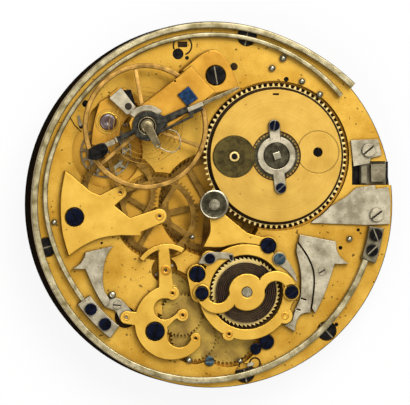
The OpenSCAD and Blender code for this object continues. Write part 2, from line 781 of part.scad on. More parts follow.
module barrel_arbor() color("#4a4538") {
    rod(barrel_at, barrel_arbor_r, web_z - 0.3, lid_top + 0.2);
    rod(barrel_at, 1.6, web_z - 0.55, web_z - 0.05);
    rod(barrel_at, 1.6, drum_z + 0.4, lid_z - 0.05);
    rod(barrel_at, 1.55, lid_top + 0.04, lid_top + 0.3);
    translate([barrel_at.x, barrel_at.y, lid_top + 0.5]) rotate(20) cube([0.9, 0.9, 0.8], center = true);
}

module ratchet_wheel() color("#8f8a7b") translate(barrel_at) slab(lid_top - 0.16, 0.14) difference() {
    gear(40, 0.145, WHEEL_FORM, 0);
    circle(r = barrel_arbor_r);
}

// Going train

centre_phase = dir_of(third_at - centre_at);
third_phase = dir_of(fourth_at - third_at);
fourth_phase = dir_of(escape_at - fourth_at);
centre_pinion_phase = mesh_phase(barrel_phase, barrel_teeth, centre_leaves, barrel_phase);
third_pinion_phase = mesh_phase(centre_phase, centre_teeth, third_leaves, centre_phase);
fourth_pinion_phase = mesh_phase(third_phase, third_teeth, fourth_leaves, third_phase);
escape_pinion_phase = mesh_phase(fourth_phase, fourth_teeth, escape_leaves, fourth_phase);

module centre_wheel() color("#d2a545")
    crossed_wheel(centre_at, centre_z, centre_teeth, centre_m, centre_phase, 5, centre_arbor_r);

module centre_arbor() color("#b4aea0") {
    rod(centre_at, centre_arbor_r, hand_z, bridge_top + 0.2);
    leaves(centre_at, flange_z - 0.1, flange_h + 0.2, centre_leaves, barrel_m, centre_pinion_phase);
    rod(centre_at, 1.8, bridge_top + 0.1, bridge_top + 0.65);
    translate([0, 0, bridge_top + 0.8]) rotate(12) cube([0.9, 0.9, 0.5], center = true);
}

module third_wheel() color("#d2a545")
    crossed_wheel(third_at, third_z, third_teeth, third_m, third_phase, 4, arbor_r);

module third_pinion() color("#b4aea0") {
    arbor(third_at, deep_floor);
    leaves(third_at, centre_z - 0.1, 0.5, third_leaves, centre_m, third_pinion_phase);
}

module fourth_wheel() color("#d2a545")
    crossed_wheel(fourth_at, fourth_z, fourth_teeth, fourth_m, fourth_phase, 4, arbor_r);

module fourth_pinion() color("#b4aea0") {
    arbor(fourth_at, third_floor - 0.2);
    leaves(fourth_at, third_z - 0.1, 0.5, fourth_leaves, third_m, fourth_pinion_phase);
}

// Escapement and balance

escape_hub_r = 0.55;

module escape_wheel() color("#bfb9aa") {
    translate(escape_at) slab(escape_z, wheel_t) {
        difference() {
            polygon([for (k = [0 : escape_teeth - 1]) for (p = [[2.45, 0], [escape_r, 0.32], [escape_r, 0.42], [2.45, 0.4]])
                polar(p[0], (k + p[1]) * 360 / escape_teeth)]);
            circle(r = 2.0);
        }
        circle(r = escape_hub_r);
        for (k = [0 : 3])
            rotate(k * 90 + 20) translate([0, -0.15]) square([2.2, 0.3]);
    }
    arbor(escape_at, escape_floor);
    leaves(escape_at, fourth_z - 0.08, 0.45, escape_leaves, fourth_m, escape_pinion_phase);
}

lever_dir = dir_of(balance_at - pallet_at);
lever_l = norm(balance_at - pallet_at) - 0.75;
PALLET_ARMS = [[1.75, -0.72], [-1.75, -0.72]];

module pallet_lever() color("#b9b3a0") {
    slab(escape_z, 0.3) translate(pallet_at) {
        for (p = PALLET_ARMS)
            bar([0, 0], p, 0.4);
        circle(r = 0.6);
        rotate(lever_dir) difference() {
            union() {
                translate([0, -0.2]) square([lever_l - 0.3, 0.4]);
                translate([lever_l - 0.6, -0.45]) square([0.6, 0.9]);
            }
            translate([lever_l - 0.35, -0.17]) square([1, 0.34]);
        }
    }
    arbor(pallet_at, escape_floor);
}

module balance_wheel() color("#be8b4e") translate(balance_at) {
    slab(balance_z, balance_t) difference() {
        circle(r = balance_r, $fn = 128);
        circle(r = balance_r - balance_rim, $fn = 128);
    }
    slab(balance_z + 0.1, 0.3) difference() {
        union() {
            circle(r = 1.0);
            for (a = [100, 220, 340])
                rotate(a) translate([0.3, -0.33]) square([balance_r - balance_rim, 0.66]);
        }
        circle(r = 0.35);
    }
}

module balance_staff() color("#b4aea0") {
    rod(balance_at, 0.35, escape_floor + 0.05, cock_z - 0.05);
    rod(balance_at, pivot_r, escape_floor - pivot_l, escape_floor + 0.1);
    rod(balance_at, pivot_r, cock_z - 0.1, cock_z + 0.55);
    rod(balance_at, hairspring_in - hairspring_w / 2, hairspring_z, balance_z + 0.1);
    rod(balance_at, 1.0, escape_z + 0.5, escape_z + 0.75);
    rod(balance_at + polar(0.75, lever_dir + 180), 0.13, escape_z + 0.37, escape_z + 0.6);
}

hairspring_in = 0.95;
hairspring_path = spiral_points(hairspring_in, hairspring_r, hairspring_turns, 137);
echo(hairspring_gap = spiral_gap(hairspring_path, hairspring_w));

module hairspring() color("#2c4a80")
    translate(balance_at) slab(hairspring_z, hairspring_h) strip(hairspring_path, hairspring_w);

module regulator() color("#b9b3a0") slab(regulator_z, regulator_t) translate(balance_at) {
    difference() {
        circle(r = 1.85);
        circle(r = 1.2);
    }
    rotate(regulator_dir) {
        for (side = [-1, 1])
            translate([1.4, side * 0.6 - 0.2]) square([4.4, 0.4]);
        polygon([[5.0, -0.95], [7.3, -0.8], [7.6, -0.25], [11.6, -0.12], [11.6, 0.12], [7.6, 0.25], [7.3, 0.8], [5.0, 0.95]]);
        translate([-7.4, -0.45]) square([5.9, 0.9]);
    }
}

module compensation_curb() color("#20263c") slab(regulator_z + regulator_t, 0.25) translate(balance_at)
    rotate(regulator_dir) {
        translate([5.2, 0.1]) square([1.7, 2.1]);
        translate([-7.6, -0.85]) square([2.4, 1.7]);
        translate([-4.2, -0.35]) square([1.6, 0.7]);
    }

// Striking train

great_phase = dir_of(second_at - great_at);
second_phase = dir_of(rear_at - second_at);
rear_phase = dir_of(upper_at - rear_at);
upper_phase = dir_of(last_at - upper_at);
last_phase = dir_of(fly_at - last_at);
leaf_h = 0.46;

// One striking arbor: spoked wheel, pinion and arbor in one piece
module strike_arbor_set(at, wheel_z, teeth, m, phase, leaf_z, leaf_count, leaf_m, leaf_phase) {
    crossed_wheel(at, wheel_z, teeth, m, phase, 4, 0.1);
    leaves(at, leaf_z - 0.1, leaf_h, leaf_count, leaf_m, leaf_phase);
    arbor(at, strike_floor);
}

module great_wheel() color("#d2a545") crossed_wheel(great_at, strike_high_z, great_teeth, great_m, great_phase, 5,
    strike_arbor_r + pivot_clear);

module strike_arbor() color("#8f8a7b") {
    rod(great_at, strike_pivot_r, web_z + 0.7, great_floor + 0.2);
    rod(great_at, strike_arbor_r, great_floor + 0.05, top);
    rod(great_at, hub_r - 0.1, top - 0.1, top + 0.95);
    rod(great_at, strike_pivot_r, top + 0.9, bridge_top + s_bridge_t - 0.05);
}

module strike_ratchet() color("#d9ac48") translate(great_at) slab(top - 0.1, 0.32) difference() {
    polygon([for (k = [0 : ratchet_teeth - 1]) for (p = [[ratchet_r - 0.34, 0], [ratchet_r, 0.85], [ratchet_r - 0.3, 0.95]])
        polar(p[0], (k + p[1]) * 360 / ratchet_teeth)]);
    circle(r = hub_r - 0.1);
}

repeat_path = spiral_points(hub_r + 0.02, 3.8, 2, 60);
repeat_w = 0.24;
echo(repeat_spring_gap = spiral_gap(repeat_path, repeat_w));

module repeat_spring() color("#4b3a22")
    translate(great_at) slab(top + 0.3, 0.6) strip(repeat_path, repeat_w);

module strike_second() color("#d2a545") strike_arbor_set(second_at, strike_low_z, second_teeth, second_m, second_phase,
    strike_high_z, second_leaves, great_m, mesh_phase(great_phase, great_teeth, second_leaves, great_phase));

module strike_rear() color("#d2a545") strike_arbor_set(rear_at, strike_mid_z, strike_teeth, rear_m, rear_phase,
    strike_low_z, strike_leaves, second_m, mesh_phase(second_phase, second_teeth, strike_leaves, second_phase));

module strike_upper() color("#d2a545") strike_arbor_set(upper_at, strike_high_z, strike_teeth, upper_m, upper_phase,
    strike_mid_z, strike_leaves, rear_m, mesh_phase(rear_phase, strike_teeth, strike_leaves, rear_phase));

module strike_last() color("#d2a545") strike_arbor_set(last_at, strike_low_z, strike_teeth, last_m, last_phase,
    strike_high_z, strike_leaves, upper_m, mesh_phase(upper_phase, strike_teeth, strike_leaves, upper_phase));

module fly() color("#b4aea0") {
    arbor(fly_at, strike_floor);
    leaves(fly_at, strike_low_z - 0.1, leaf_h, strike_leaves, last_m,
        mesh_phase(last_phase, strike_teeth, strike_leaves, last_phase));
    slab(strike_mid_z, 0.7) bar(fly_at + polar(1.15, 30), fly_at - polar(1.15, 30), 0.3);
}

// Hammers, click and slide

module left_hammer() color("#b9b3a0") {
    slab(hammer_z, hammer_t) polygon(LEFT_HAMMER_OUTLINE);
    slab(hammer_z, 0.5) bar([-13.25, -12.2], hammer_lug_at, 1.1);
    rod([-12.25, -12.84], 0.38, hammer_z + 0.4, hammer_z + 0.62);
    rod(hammer_lug_at, hammer_arbor_r, top - 1.6, hammer_z + 0.55);
    rod(hammer_lug_at, pivot_r, hammer_z + 0.5, bridge_top - 0.05);
}

module right_hammer() color("#b9b3a0") difference() {
    union() {
        slab(hammer_z, hammer_t) polygon(RIGHT_HAMMER_OUTLINE);
        rod(right_pivot_at, 0.8, hammer_z, hammer_z + hammer_t);
    }
    rod(right_pivot_at, hammer_arbor_r + pivot_clear, top, top + 2);
}

module click() color("#b9b3a0") slab(bridge_top + 0.01, click_t) difference() {
    union() {
        translate(click_at) circle(r = 0.95);
        bar(click_at, [2.3, -6.9], 0.8);
    }
    translate(click_at) circle(r = SMALL_SCREWS[2][1] / 2 + pivot_clear);
}

slide_w = slide_slot_w - 2 * slide_clear;
slide_x = 18.95;
module slide_block(x, l, z, h, w) {
    translate([x, slide_y - w / 2, z]) cube([l, w, h]);
}

module repeat_slide() color("#b9b3a0") {
    slide_block(slide_x, 3.3, slot_floor + 0.02, 0.5, slide_w);
    slide_block(slide_x + 0.05, 0.7, slot_floor + 0.4, 0.8, slide_w - 0.3);
    slide_block(slide_x + 1.25, 1.8, slot_floor + 0.4, 1.0, 2.2);
}

// Motion work behind the dial

hand_z = 0.12;
hour_seat_z = 0.45;
cannon_r = 0.9;
hand_seat_r = 0.72;
pipe_r = 1.15;
cannon_phase = dir_of(minute_at - centre_at);
minute_phase = mesh_phase(cannon_phase, cannon_leaves, minute_teeth, cannon_phase);
minute_leaf_phase = cannon_phase + 180;
hour_phase = mesh_phase(minute_leaf_phase, minute_leaves, hour_teeth, minute_leaf_phase);

module cannon_pinion() color("#b4aea0") difference() {
    union() {
        rod(centre_at, hand_seat_r, hand_z, hour_seat_z + 0.1);
        rod(centre_at, cannon_r, hour_seat_z, web_z - 0.1);
        leaves(centre_at, web_z - 0.44, 0.36, cannon_leaves, cannon_m, cannon_phase);
    }
    rod(centre_at, centre_arbor_r, 0, top);
}

module minute_wheel() color("#d2a545") difference() {
    union() {
        translate(minute_at) slab(web_z - 0.4, 0.28) gear(minute_teeth, cannon_m, WHEEL_FORM, minute_phase);
        leaves(minute_at, web_z - 0.92, 0.6, minute_leaves, hour_m, minute_leaf_phase);
    }
    rod(minute_at, stud_r + pivot_clear, 0, top);
}

module hour_wheel() color("#d2a545") difference() {
    union() {
        slab(web_z - 0.85, 0.28) gear(hour_teeth, hour_m, WHEEL_FORM, hour_phase);
        rod(centre_at, pipe_r, hour_seat_z + 0.1, web_z - 0.6);
    }
    rod(centre_at, cannon_r + pivot_clear, 0, top);
}

snail_steps = 12;
snail_low_r = 1.5;
snail_high_r = 3.0;

module hour_snail() color("#b9b3a0") difference() {
    translate(snail_at) slab(web_z - 0.6, 0.4) for (k = [0 : snail_steps - 1])
        let (r = snail_low_r + (snail_high_r - snail_low_r) * k / (snail_steps - 1))
        polygon([[0, 0], polar(r, k * 30 - 0.5), polar(r, k * 30 + 10), polar(r, k * 30 + 20), polar(r, k * 30 + 30)]);
    rod(snail_at, stud_r + pivot_clear, 0, top);
}

main_plate();
going_bridge();
centre_bridge();
pallet_cock();
pallet_jewel();
balance_cock();
endstone_cap();
stud_plate();
strike_bridge();
spring_ring();
spring_bridge();
outer_gong();
inner_gong();
slide_plate_upper();
slide_plate_lower();
large_screws();
small_screws();
steel_screws();
case_screws();
plate_pins();
click_spring();
hammer_spring();
barrel_drum();
barrel_lid();
mainspring();
barrel_collar();
collar_screws();
stop_disc();
barrel_arbor();
ratchet_wheel();
centre_wheel();
centre_arbor();
cannon_pinion();
third_wheel();
third_pinion();
fourth_wheel();
fourth_pinion();
escape_wheel();
pallet_lever();
balance_wheel();
balance_staff();
hairspring();
regulator();
compensation_curb();
great_wheel();
strike_arbor();
strike_ratchet();
repeat_spring();
strike_second();
strike_rear();
strike_upper();
strike_last();
fly();
left_hammer();
right_hammer();
repeat_slide();
click();
minute_wheel();
hour_wheel();
hour_snail();
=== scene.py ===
import json
import math
import bpy
import numpy as np
from mathutils import Matrix, Vector
from mathutils.geometry import delaunay_2d_cdt


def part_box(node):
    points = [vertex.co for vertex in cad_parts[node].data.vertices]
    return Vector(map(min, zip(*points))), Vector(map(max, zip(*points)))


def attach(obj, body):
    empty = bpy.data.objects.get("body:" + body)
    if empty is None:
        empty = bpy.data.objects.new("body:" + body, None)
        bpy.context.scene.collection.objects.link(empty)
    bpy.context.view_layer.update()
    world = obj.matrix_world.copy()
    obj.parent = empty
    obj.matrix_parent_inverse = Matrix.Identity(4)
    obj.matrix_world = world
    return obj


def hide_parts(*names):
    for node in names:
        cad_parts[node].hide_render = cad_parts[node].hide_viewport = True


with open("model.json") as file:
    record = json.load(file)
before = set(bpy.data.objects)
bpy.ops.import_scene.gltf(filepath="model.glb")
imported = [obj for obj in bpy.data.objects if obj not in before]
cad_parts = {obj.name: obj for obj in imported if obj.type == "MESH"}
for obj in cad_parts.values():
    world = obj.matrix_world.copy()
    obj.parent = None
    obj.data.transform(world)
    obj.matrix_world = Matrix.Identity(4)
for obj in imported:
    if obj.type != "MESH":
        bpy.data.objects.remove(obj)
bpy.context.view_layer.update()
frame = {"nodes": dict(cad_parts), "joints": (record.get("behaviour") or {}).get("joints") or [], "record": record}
cadNodes = frame["nodes"]
nodeBody = {n: b for b, names in frame["record"]["behaviour"]["bodies"].items() for n in names}
mm = 0.001


# Finishes

def hexLinear(code):
    s = np.array([int(code[i:i + 2], 16) for i in (1, 3, 5)]) / 255
    linear = np.where(s <= 0.04045, s / 12.92, ((s + 0.055) / 1.055) ** 2.4)
    return (*linear.tolist(), 1.0)


def emptyTree(owner):
    owner.use_nodes = True
    owner.node_tree.nodes.clear()
    return owner.node_tree


# An input may be a value, a socket, or a node whose first output is taken
def addNode(tree, kind, inputs=None, **settings):
    made = tree.nodes.new("ShaderNode" + kind)
    for key, value in settings.items():
        setattr(made, key, value)
    for key, value in (inputs or {}).items():
        if isinstance(value, bpy.types.Node):
            value = value.outputs[0]
        if isinstance(value, bpy.types.NodeSocket):
            tree.links.new(value, made.inputs[key])
        else:
            made.inputs[key].default_value = value
    return made


# Where noise, corner light and slope begin and end to count; corner light and slope bring in painted shade
wearAndShade = dict(tones=(0.36, 0.64), grain=(0.3, 0.7), speckStep=0.05, grimeAndShade=(0.9, 0.35), wall=(0.9, 0.3),
    bumpDepth=0.02, rimRough=0.8)


# A worked metal: two clouded tones with a fine grain, then specks, grime together with painted shade in the
# corners, and painted shade on the upright walls.
# Sizes are in mm; speckLevel is the noise level above which a speck shows.
def agedMetal(look):
    made = bpy.data.materials.new(look["name"])
    tree = emptyTree(made)
    place = addNode(tree, "TexCoord").outputs["Object"]
    cloud = addNode(tree, "TexNoise", {
        "Vector": place, "Scale": 1 / (look["cloud"] * mm), "Detail": 4.0, "Roughness": 0.62})
    least, most = wearAndShade["tones"]
    spread = addNode(tree, "MapRange", {"Value": cloud, "From Min": least, "From Max": most})
    tone = addNode(tree, "Mix", {
        0: spread, 6: hexLinear(look["dark"]), 7: hexLinear(look["light"])}, data_type="RGBA")
    if "turnedAt" in look or "rim" in look:  # distance from an upright axis
        x, y = look.get("turnedAt", (0, 0))
        offset = addNode(tree, "VectorMath", {0: place, 1: (x * mm, y * mm, 0)}, operation="SUBTRACT")
        flat = addNode(tree, "VectorMath", {0: offset, 1: (1, 1, 0)}, operation="MULTIPLY")
        away = addNode(tree, "VectorMath", {0: flat}, operation="LENGTH").outputs["Value"]
    grit = {"Scale": 1 / (look["grain"] * mm), "Detail": 2.0}
    if "turnedAt" in look:  # circular tool marks
        grain = addNode(tree, "TexNoise", {"W": away, **grit}, noise_dimensions="1D")
    else:
        grain = addNode(tree, "TexNoise", {"Vector": place, **grit})
    least, most = wearAndShade["grain"]
    fleck = addNode(tree, "MapRange", {
        "Value": grain, "From Min": least, "From Max": most,
        "To Min": 1 - look["fleck"], "To Max": 1 + look["fleck"]})
    colour = addNode(tree, "VectorMath", {0: tone.outputs[2], 3: fleck}, operation="SCALE")
    speck = addNode(tree, "TexNoise", {"Vector": place, "Scale": 1 / (look["speckSize"] * mm), "Detail": 1.0})
    # painted shade with grime: corners and creases darkened by ambient occlusion
    corner = addNode(tree, "AmbientOcclusion", {"Distance": look["grimeAndShadeReach"] * mm}, samples=6)
    # painted shade: faces darkened the more upright they stand
    normal = addNode(tree, "SeparateXYZ", {0: addNode(tree, "NewGeometry").outputs["Normal"]})
    level = addNode(tree, "Math", {0: normal.outputs["Z"]}, operation="ABSOLUTE")
    layers = [("speck", speck, look["speckLevel"], look["speckLevel"] + wearAndShade["speckStep"]),
        ("grimeAndShade", corner.outputs["AO"], *wearAndShade["grimeAndShade"]),
        ("wall", level, *wearAndShade["wall"])]
    if "sink" in look:  # painted shade: surfaces in the sinks tinted orange, more the deeper they lie
        depth = addNode(tree, "SeparateXYZ", {0: place})
        deep, shallow = look["sinkLevel"]
        layers.append(("sink", depth.outputs["Z"], shallow * mm, deep * mm))
    for key, value, none, full in layers:  # a layer comes in as its value goes from none to full
        share = addNode(tree, "MapRange", {
            "Value": value, "From Min": none, "From Max": full, "To Max": look[key + "Strength"]})
        colour = addNode(tree, "Mix", {
            0: share, 6: colour, 7: hexLinear(look[key])}, data_type="RGBA").outputs[2]
    if "rim" in look:  # painted shade: the outside of the rim near black, as its unlit side
        outside = addNode(tree, "Math", {0: away, 1: look["rimRadius"] * mm}, operation="GREATER_THAN")
        colour = addNode(tree, "Mix", {
            0: outside, 6: colour, 7: hexLinear(look["rim"])}, data_type="RGBA").outputs[2]
    rough = addNode(tree, "MapRange", {
        "Value": cloud, "From Min": least, "From Max": most,
        "To Min": look["rough"][0], "To Max": look["rough"][1]})
    bump = addNode(tree, "Bump", {
        "Height": grain, "Strength": look["bump"], "Distance": wearAndShade["bumpDepth"] * mm})
    shader = addNode(tree, "BsdfPrincipled", {
        "Base Color": colour, "Roughness": rough, "Normal": bump, "Metallic": look["metallic"]})
    if "rim" in look:  # dull there, without a sheen at a low angle
        dull = addNode(tree, "BsdfDiffuse", {"Color": colour, "Roughness": wearAndShade["rimRough"]})
        shader = addNode(tree, "MixShader", {0: outside, 1: shader, 2: dull})
    addNode(tree, "OutputMaterial", {"Surface": shader})
    return made


# Mercury-gilt brass with a frosted ground: soft orange-yellow, dull grain, dark pin specks
frostedGilt = dict(slot="frosted_gilt", light="#DBAF48", dark="#BF8D2B", speck="#4A3010", grimeAndShade="#5E380E",
    cloud=5.0, grain=0.14, fleck=0.10, speckSize=0.55, speckLevel=0.68, speckStrength=0.8, grimeAndShadeReach=0.4,
    grimeAndShadeStrength=0.75, rough=(0.42, 0.58), bump=0.35, metallic=0.85, wall="#4A2E0C", wallStrength=0.75)

# The plate is frosted too, with painted shade: more orange in its sinks, near black round the outside
plateGilt = dict(frostedGilt, name="tarnished_and_shaded_gilt_plate", sink="#DDA238", sinkLevel=(5.0, 5.95),
    sinkStrength=0.5, rim="#17110B", rimRadius=22.82)

# Gilt brass with a smooth stoned top: paler yellow and cleaner than the plate
brightGilt = dict(frostedGilt, name="smooth_gilt_brass", slot="gilt", light="#E6B94E", dark="#DAA83E",
    cloud=3.2, grain=0.10, fleck=0.05, speckLevel=0.73, speckStrength=0.55, grimeAndShadeReach=0.3,
    grimeAndShadeStrength=0.55, rough=(0.36, 0.46), bump=0.18)

# The cocks: the same gilding, redder where it has worn
orangeGilt = dict(brightGilt, name="orange_gilt_brass", light="#D39E3A", dark="#BE862A", grimeAndShadeStrength=0.6)

# Gilded hairspring, close to the plate's own colour
giltSpring = dict(brightGilt, name="gilded_spring_wire", light="#D3A343", dark="#B98A36", wall="#8A6220",
    grimeAndShadeStrength=0.2)

# Gilt rose-brass of the balance
roseGilt = dict(brightGilt, name="rose_gilt_brass", slot="rose_brass", light="#CFA050", dark="#8E6A30",
    speck="#5B3416", grimeAndShade="#3A200C", cloud=1.4, rough=(0.34, 0.46))

# Barrel brass: smooth gilt with fine circular marks
turnedGilt = dict(brightGilt, name="turned_gilt_brass", light="#D8AE50", dark="#CDA044", grain=0.2,
    fleck=0.035, turnedAt=(8.0, 6.1), bump=0.12, wall="#24170A", wallStrength=0.92)

# Bare cut brass of the wheels, brown with old oil
oiledBrass = dict(frostedGilt, name="oiled_brass", slot="wheel_brass", light="#9C7630", dark="#684A1B",
    cloud=1.6, grain=0.08, fleck=0.12, speckLevel=0.66, speckStrength=0.5, grimeAndShade="#2C1C0A", grimeAndShadeReach=0.35,
    grimeAndShadeStrength=0.7, rough=(0.34, 0.52), bump=0.2, wall="#24170A", wallStrength=0.9)

# Striking wheels: olive with oil and dust
oliveBrass = dict(oiledBrass, name="olive_brass", light="#C8A54A", dark="#98793A", cloud=2.2)

# Olive-brown bronze of the stop-work disc, turned
turnedBronze = dict(oiledBrass, name="turned_dark_bronze", light="#5C4F26", dark="#3A3117", cloud=0.9,
    grain=0.16, fleck=0.14, turnedAt=(2.4, 6.0))

# Old tool steel, stoned flat: warm grey with faint rust pits
agedSteel = dict(name="stoned_steel", slot="polished_steel", light="#C8BDA1", dark="#958A6F", speck="#51452F",
    grimeAndShade="#3A3222", cloud=1.8, grain=0.12, fleck=0.08, speckSize=0.28, speckLevel=0.67, speckStrength=0.65,
    grimeAndShadeReach=0.4, grimeAndShadeStrength=0.7, rough=(0.34, 0.5), bump=0.25, metallic=0.8, wall="#3B3424",
    wallStrength=0.7)

# Gong wire: hardened steel, mottled with tarnish
gongSteel = dict(agedSteel, name="hardened_wire_steel", slot="gong_steel", light="#CBBE96", dark="#887A50",
    cloud=1.7, rough=(0.3, 0.46), wallStrength=0.5)

# Brown oxidised spring steel
brownSpring = dict(agedSteel, name="browned_spring_steel", slot="blued_steel", light="#4A3423",
    dark="#2A1B12", speck="#140C07", grimeAndShade="#120B06", cloud=0.8, rough=(0.38, 0.52), metallic=0.6,
    wall="#1A100A")

# Pinions, staffs and polished arbors: bright steel
polishedSteel = dict(agedSteel, name="polished_steel", light="#C2B99D", dark="#958B70", cloud=0.9,
    speckStrength=0.25, fleck=0.04, rough=(0.18, 0.3), bump=0.08, metallic=0.95)

# Heat-blued screw steel, nearly black with a blue sheen
bluedSteel = dict(agedSteel, name="blued_steel", slot="blued_steel", light="#151B33", dark="#0A0D1A",
    speck="#080A14", grimeAndShade="#07080F", cloud=0.7, fleck=0.1, speckStrength=0.3, rough=(0.2, 0.34), bump=0.1,
    metallic=0.9, wall="#0A0C16")

# Regulator arms: dark grey steel
gunSteel = dict(bluedSteel, name="gunmetal_steel", light="#4B483E", dark="#1C1B17", rough=(0.3, 0.44))

# The same finishes in other tones, light and dark
toned = (
    (brightGilt, "pale_gilt_brass", "#F0D58C", "#E2C06A"),  # paler gilding of the stop tube, and painted highlight on the teeth of the barrel and of the striking ratchet
    (oiledBrass, "dirt_and_shade_darkened_brass", "#3E2A12", "#1E1308"),  # painted shade between teeth, in wells and in holes, and old dirt in the plate's cut lines
    (agedSteel, "browned_block_steel", "#948A70", "#5E563F"),  # gong block at the right, and the slide
    (agedSteel, "blued_slot_steel", "#85878B", "#4E5156"),  # floors of screw slots, worn grey
    (agedSteel, "slot_shadow_steel", "#3A3327", "#211C14"),  # floors of screw slots in shadow
    (polishedSteel, "warm_cap_steel", "#A59672", "#7A6B4A"),  # endstone cap, with a warm film
    (polishedSteel, "dark_dished_steel", "#6E6850", "#3F3A2A"),  # darker steel as painted shade: button's dish, pins, winding arbor and its ratchet
    (bluedSteel, "cornflower_steel", "#2C4A70", "#1A2E48"),  # the one bright blue block
    (bluedSteel, "blackened_steel_and_shade", "#2A2724", "#12110F"),  # case screws and the curb, and painted shade in holes, slots and gaps
    (bluedSteel, "teal_steel", "#526C75", "#2E424A"))  # two screws let down to a teal grey

looks = [plateGilt, brightGilt, orangeGilt, giltSpring, roseGilt, turnedGilt, oiledBrass, oliveBrass,
    turnedBronze, agedSteel, gongSteel, brownSpring, polishedSteel, bluedSteel, gunSteel]
looks += [dict(look, name=name, light=light, dark=dark) for look, name, light, dark in toned]
finishes, slotOf = {}, {}
for look in looks:
    finishes[look["name"]] = agedMetal(look)
    slotOf[look["name"]] = look["slot"]

# Ruby: polished stone with a clear glossy coat, brownish red over the dark hole
rubyStone = dict(dark="#3A2725", light="#66483F", cloud=0.6, rough=0.25, ior=1.77, coat=0.2, coatRough=0.05)
ruby = bpy.data.materials.new("polished_ruby")
tree = emptyTree(ruby)
place = addNode(tree, "TexCoord").outputs["Object"]
depth = addNode(tree, "TexNoise", {
    "Vector": place, "Scale": 1 / (rubyStone["cloud"] * mm), "Detail": 2.0})
tone = addNode(tree, "Mix", {
    0: depth, 6: hexLinear(rubyStone["dark"]), 7: hexLinear(rubyStone["light"])}, data_type="RGBA")
shader = addNode(tree, "BsdfPrincipled", {
    "Base Color": tone.outputs[2], "Roughness": rubyStone["rough"], "IOR": rubyStone["ior"],
    "Coat Weight": rubyStone["coat"], "Coat Roughness": rubyStone["coatRough"]})
addNode(tree, "OutputMaterial", {"Surface": shader})
finishes["ruby"] = ruby
slotOf["ruby"] = "ruby"
print("finishes made:", len(finishes))


# CAD nodes that stay: finish and softened edges

nodeFinish = {
    "tarnished_and_shaded_gilt_plate": ("main_plate",),
    # teeth of the striking ratchet and the barrel paler: painted highlight
    "pale_gilt_brass": ("strike_ratchet", "barrel_drum"),
    "turned_gilt_brass": ("barrel_lid",),
    "oiled_brass": ("centre_wheel", "third_wheel", "fourth_wheel", "minute_wheel", "hour_wheel"),
    "olive_brass": ("great_wheel", "strike_second", "strike_rear", "strike_upper", "strike_last"),
    "stoned_steel": ("slide_plate_upper", "slide_plate_lower", "hour_snail"),
    "browned_block_steel": ("repeat_slide",),
    # ratchet, pins and winding arbor darker: painted shade
    "dark_dished_steel": ("ratchet_wheel", "plate_pins", "barrel_arbor"),
    "polished_steel": ("centre_arbor", "cannon_pinion", "third_pinion", "fourth_pinion", "escape_wheel",
        "balance_staff", "fly", "strike_arbor"),
    "blued_steel": ("mainspring",)}
softEdge = dict(plain=0.03, wider={"main_plate": 0.06, "barrel_lid": 0.06, "centre_arbor": 0.05},
    steps=2, angle=40, weld=0.0005)

for finish, names in nodeFinish.items():
    for name in names:
        node = cadNodes[name]
        node.data.materials.clear()
        node.data.materials.append(finishes[finish])
        weld = node.modifiers.new("weld", "WELD")
        weld.merge_threshold = softEdge["weld"] * mm
        bevel = node.modifiers.new("bevel", "BEVEL")
        bevel.width = softEdge["wider"].get(name, softEdge["plain"]) * mm
        bevel.segments = softEdge["steps"]
        bevel.limit_method = "ANGLE"
        bevel.angle_limit = math.radians(softEdge["angle"])
print("CAD nodes finished")


# Plan shapes: closed loops of points in mm

# Points along a round arc, angles in degrees, about 0.2 mm apart
def arc(centre, radius, start, end):
    count = 2 + int(abs(end - start) / min(8, 12 / radius))
    turn = np.radians(np.linspace(start, end, count))
    return np.column_stack((centre[0] + radius * np.cos(turn), centre[1] + radius * np.sin(turn)))


def circle(centre, radius):
    return arc(centre, radius, 0, 360)[:-1]


def polar(centre, radius, turn):
    angle = math.radians(turn)
    return centre[0] + radius * math.cos(angle), centre[1] + radius * math.sin(angle)


def angleOf(a, b):
    return math.degrees(math.atan2(b[1] - a[1], b[0] - a[0]))


# A straight bar with round ends, which may differ in radius
def bar(a, b, radiusA, radiusB=None):
    lean = angleOf(a, b)
    ends = arc(b, radiusB or radiusA, lean - 90, lean + 90), arc(a, radiusA, lean + 90, lean + 270)
    return np.vstack(ends)


# A band between two radii with square ends
def band(centre, inner, outer, start, end):
    return np.vstack((arc(centre, outer, start, end), arc(centre, inner, end, start)))


# A smooth line through points: on each stretch a cubic whose slopes follow the neighbouring points
def curve(points, steps=8):
    p = np.asarray(points, float)
    p = np.vstack((2 * p[0] - p[1], p, 2 * p[-1] - p[-2]))
    t = np.linspace(0, 1, steps, endpoint=False)[None, :, None]
    a, b, c, d = (p[k:len(p) - 3 + k, None] for k in range(4))
    line = 0.5 * (2 * b + (c - a) * t + (2 * a - 5 * b + 4 * c - d) * t ** 2
        + (3 * b - a - 3 * c + d) * t ** 3)
    return np.vstack((line.reshape(-1, 2), p[-2]))


# Stretches laid end to end as one loop, without doubled points; a list of three or more is a smooth line
def loop(*stretches):
    smooth = [curve(s) if isinstance(s, tuple) and len(s) > 2 else np.reshape(s, (-1, 2)) for s in stretches]
    joined = np.vstack(smooth)
    step = np.linalg.norm(joined - np.roll(joined, 1, 0), axis=1)
    return joined[step > 0.004]


def boxAt(centre, length, width):
    return np.asarray(centre) + np.array([(-1, -1), (1, -1), (1, 1), (-1, 1)]) * (length / 2, width / 2)


# Points given along and across a direction, turned and moved to a centre
def placed(points, centre, turn):
    c, s = math.cos(math.radians(turn)), math.sin(math.radians(turn))
    return np.asarray(points, float) @ np.array([(c, s), (-s, c)]) + np.asarray(centre)


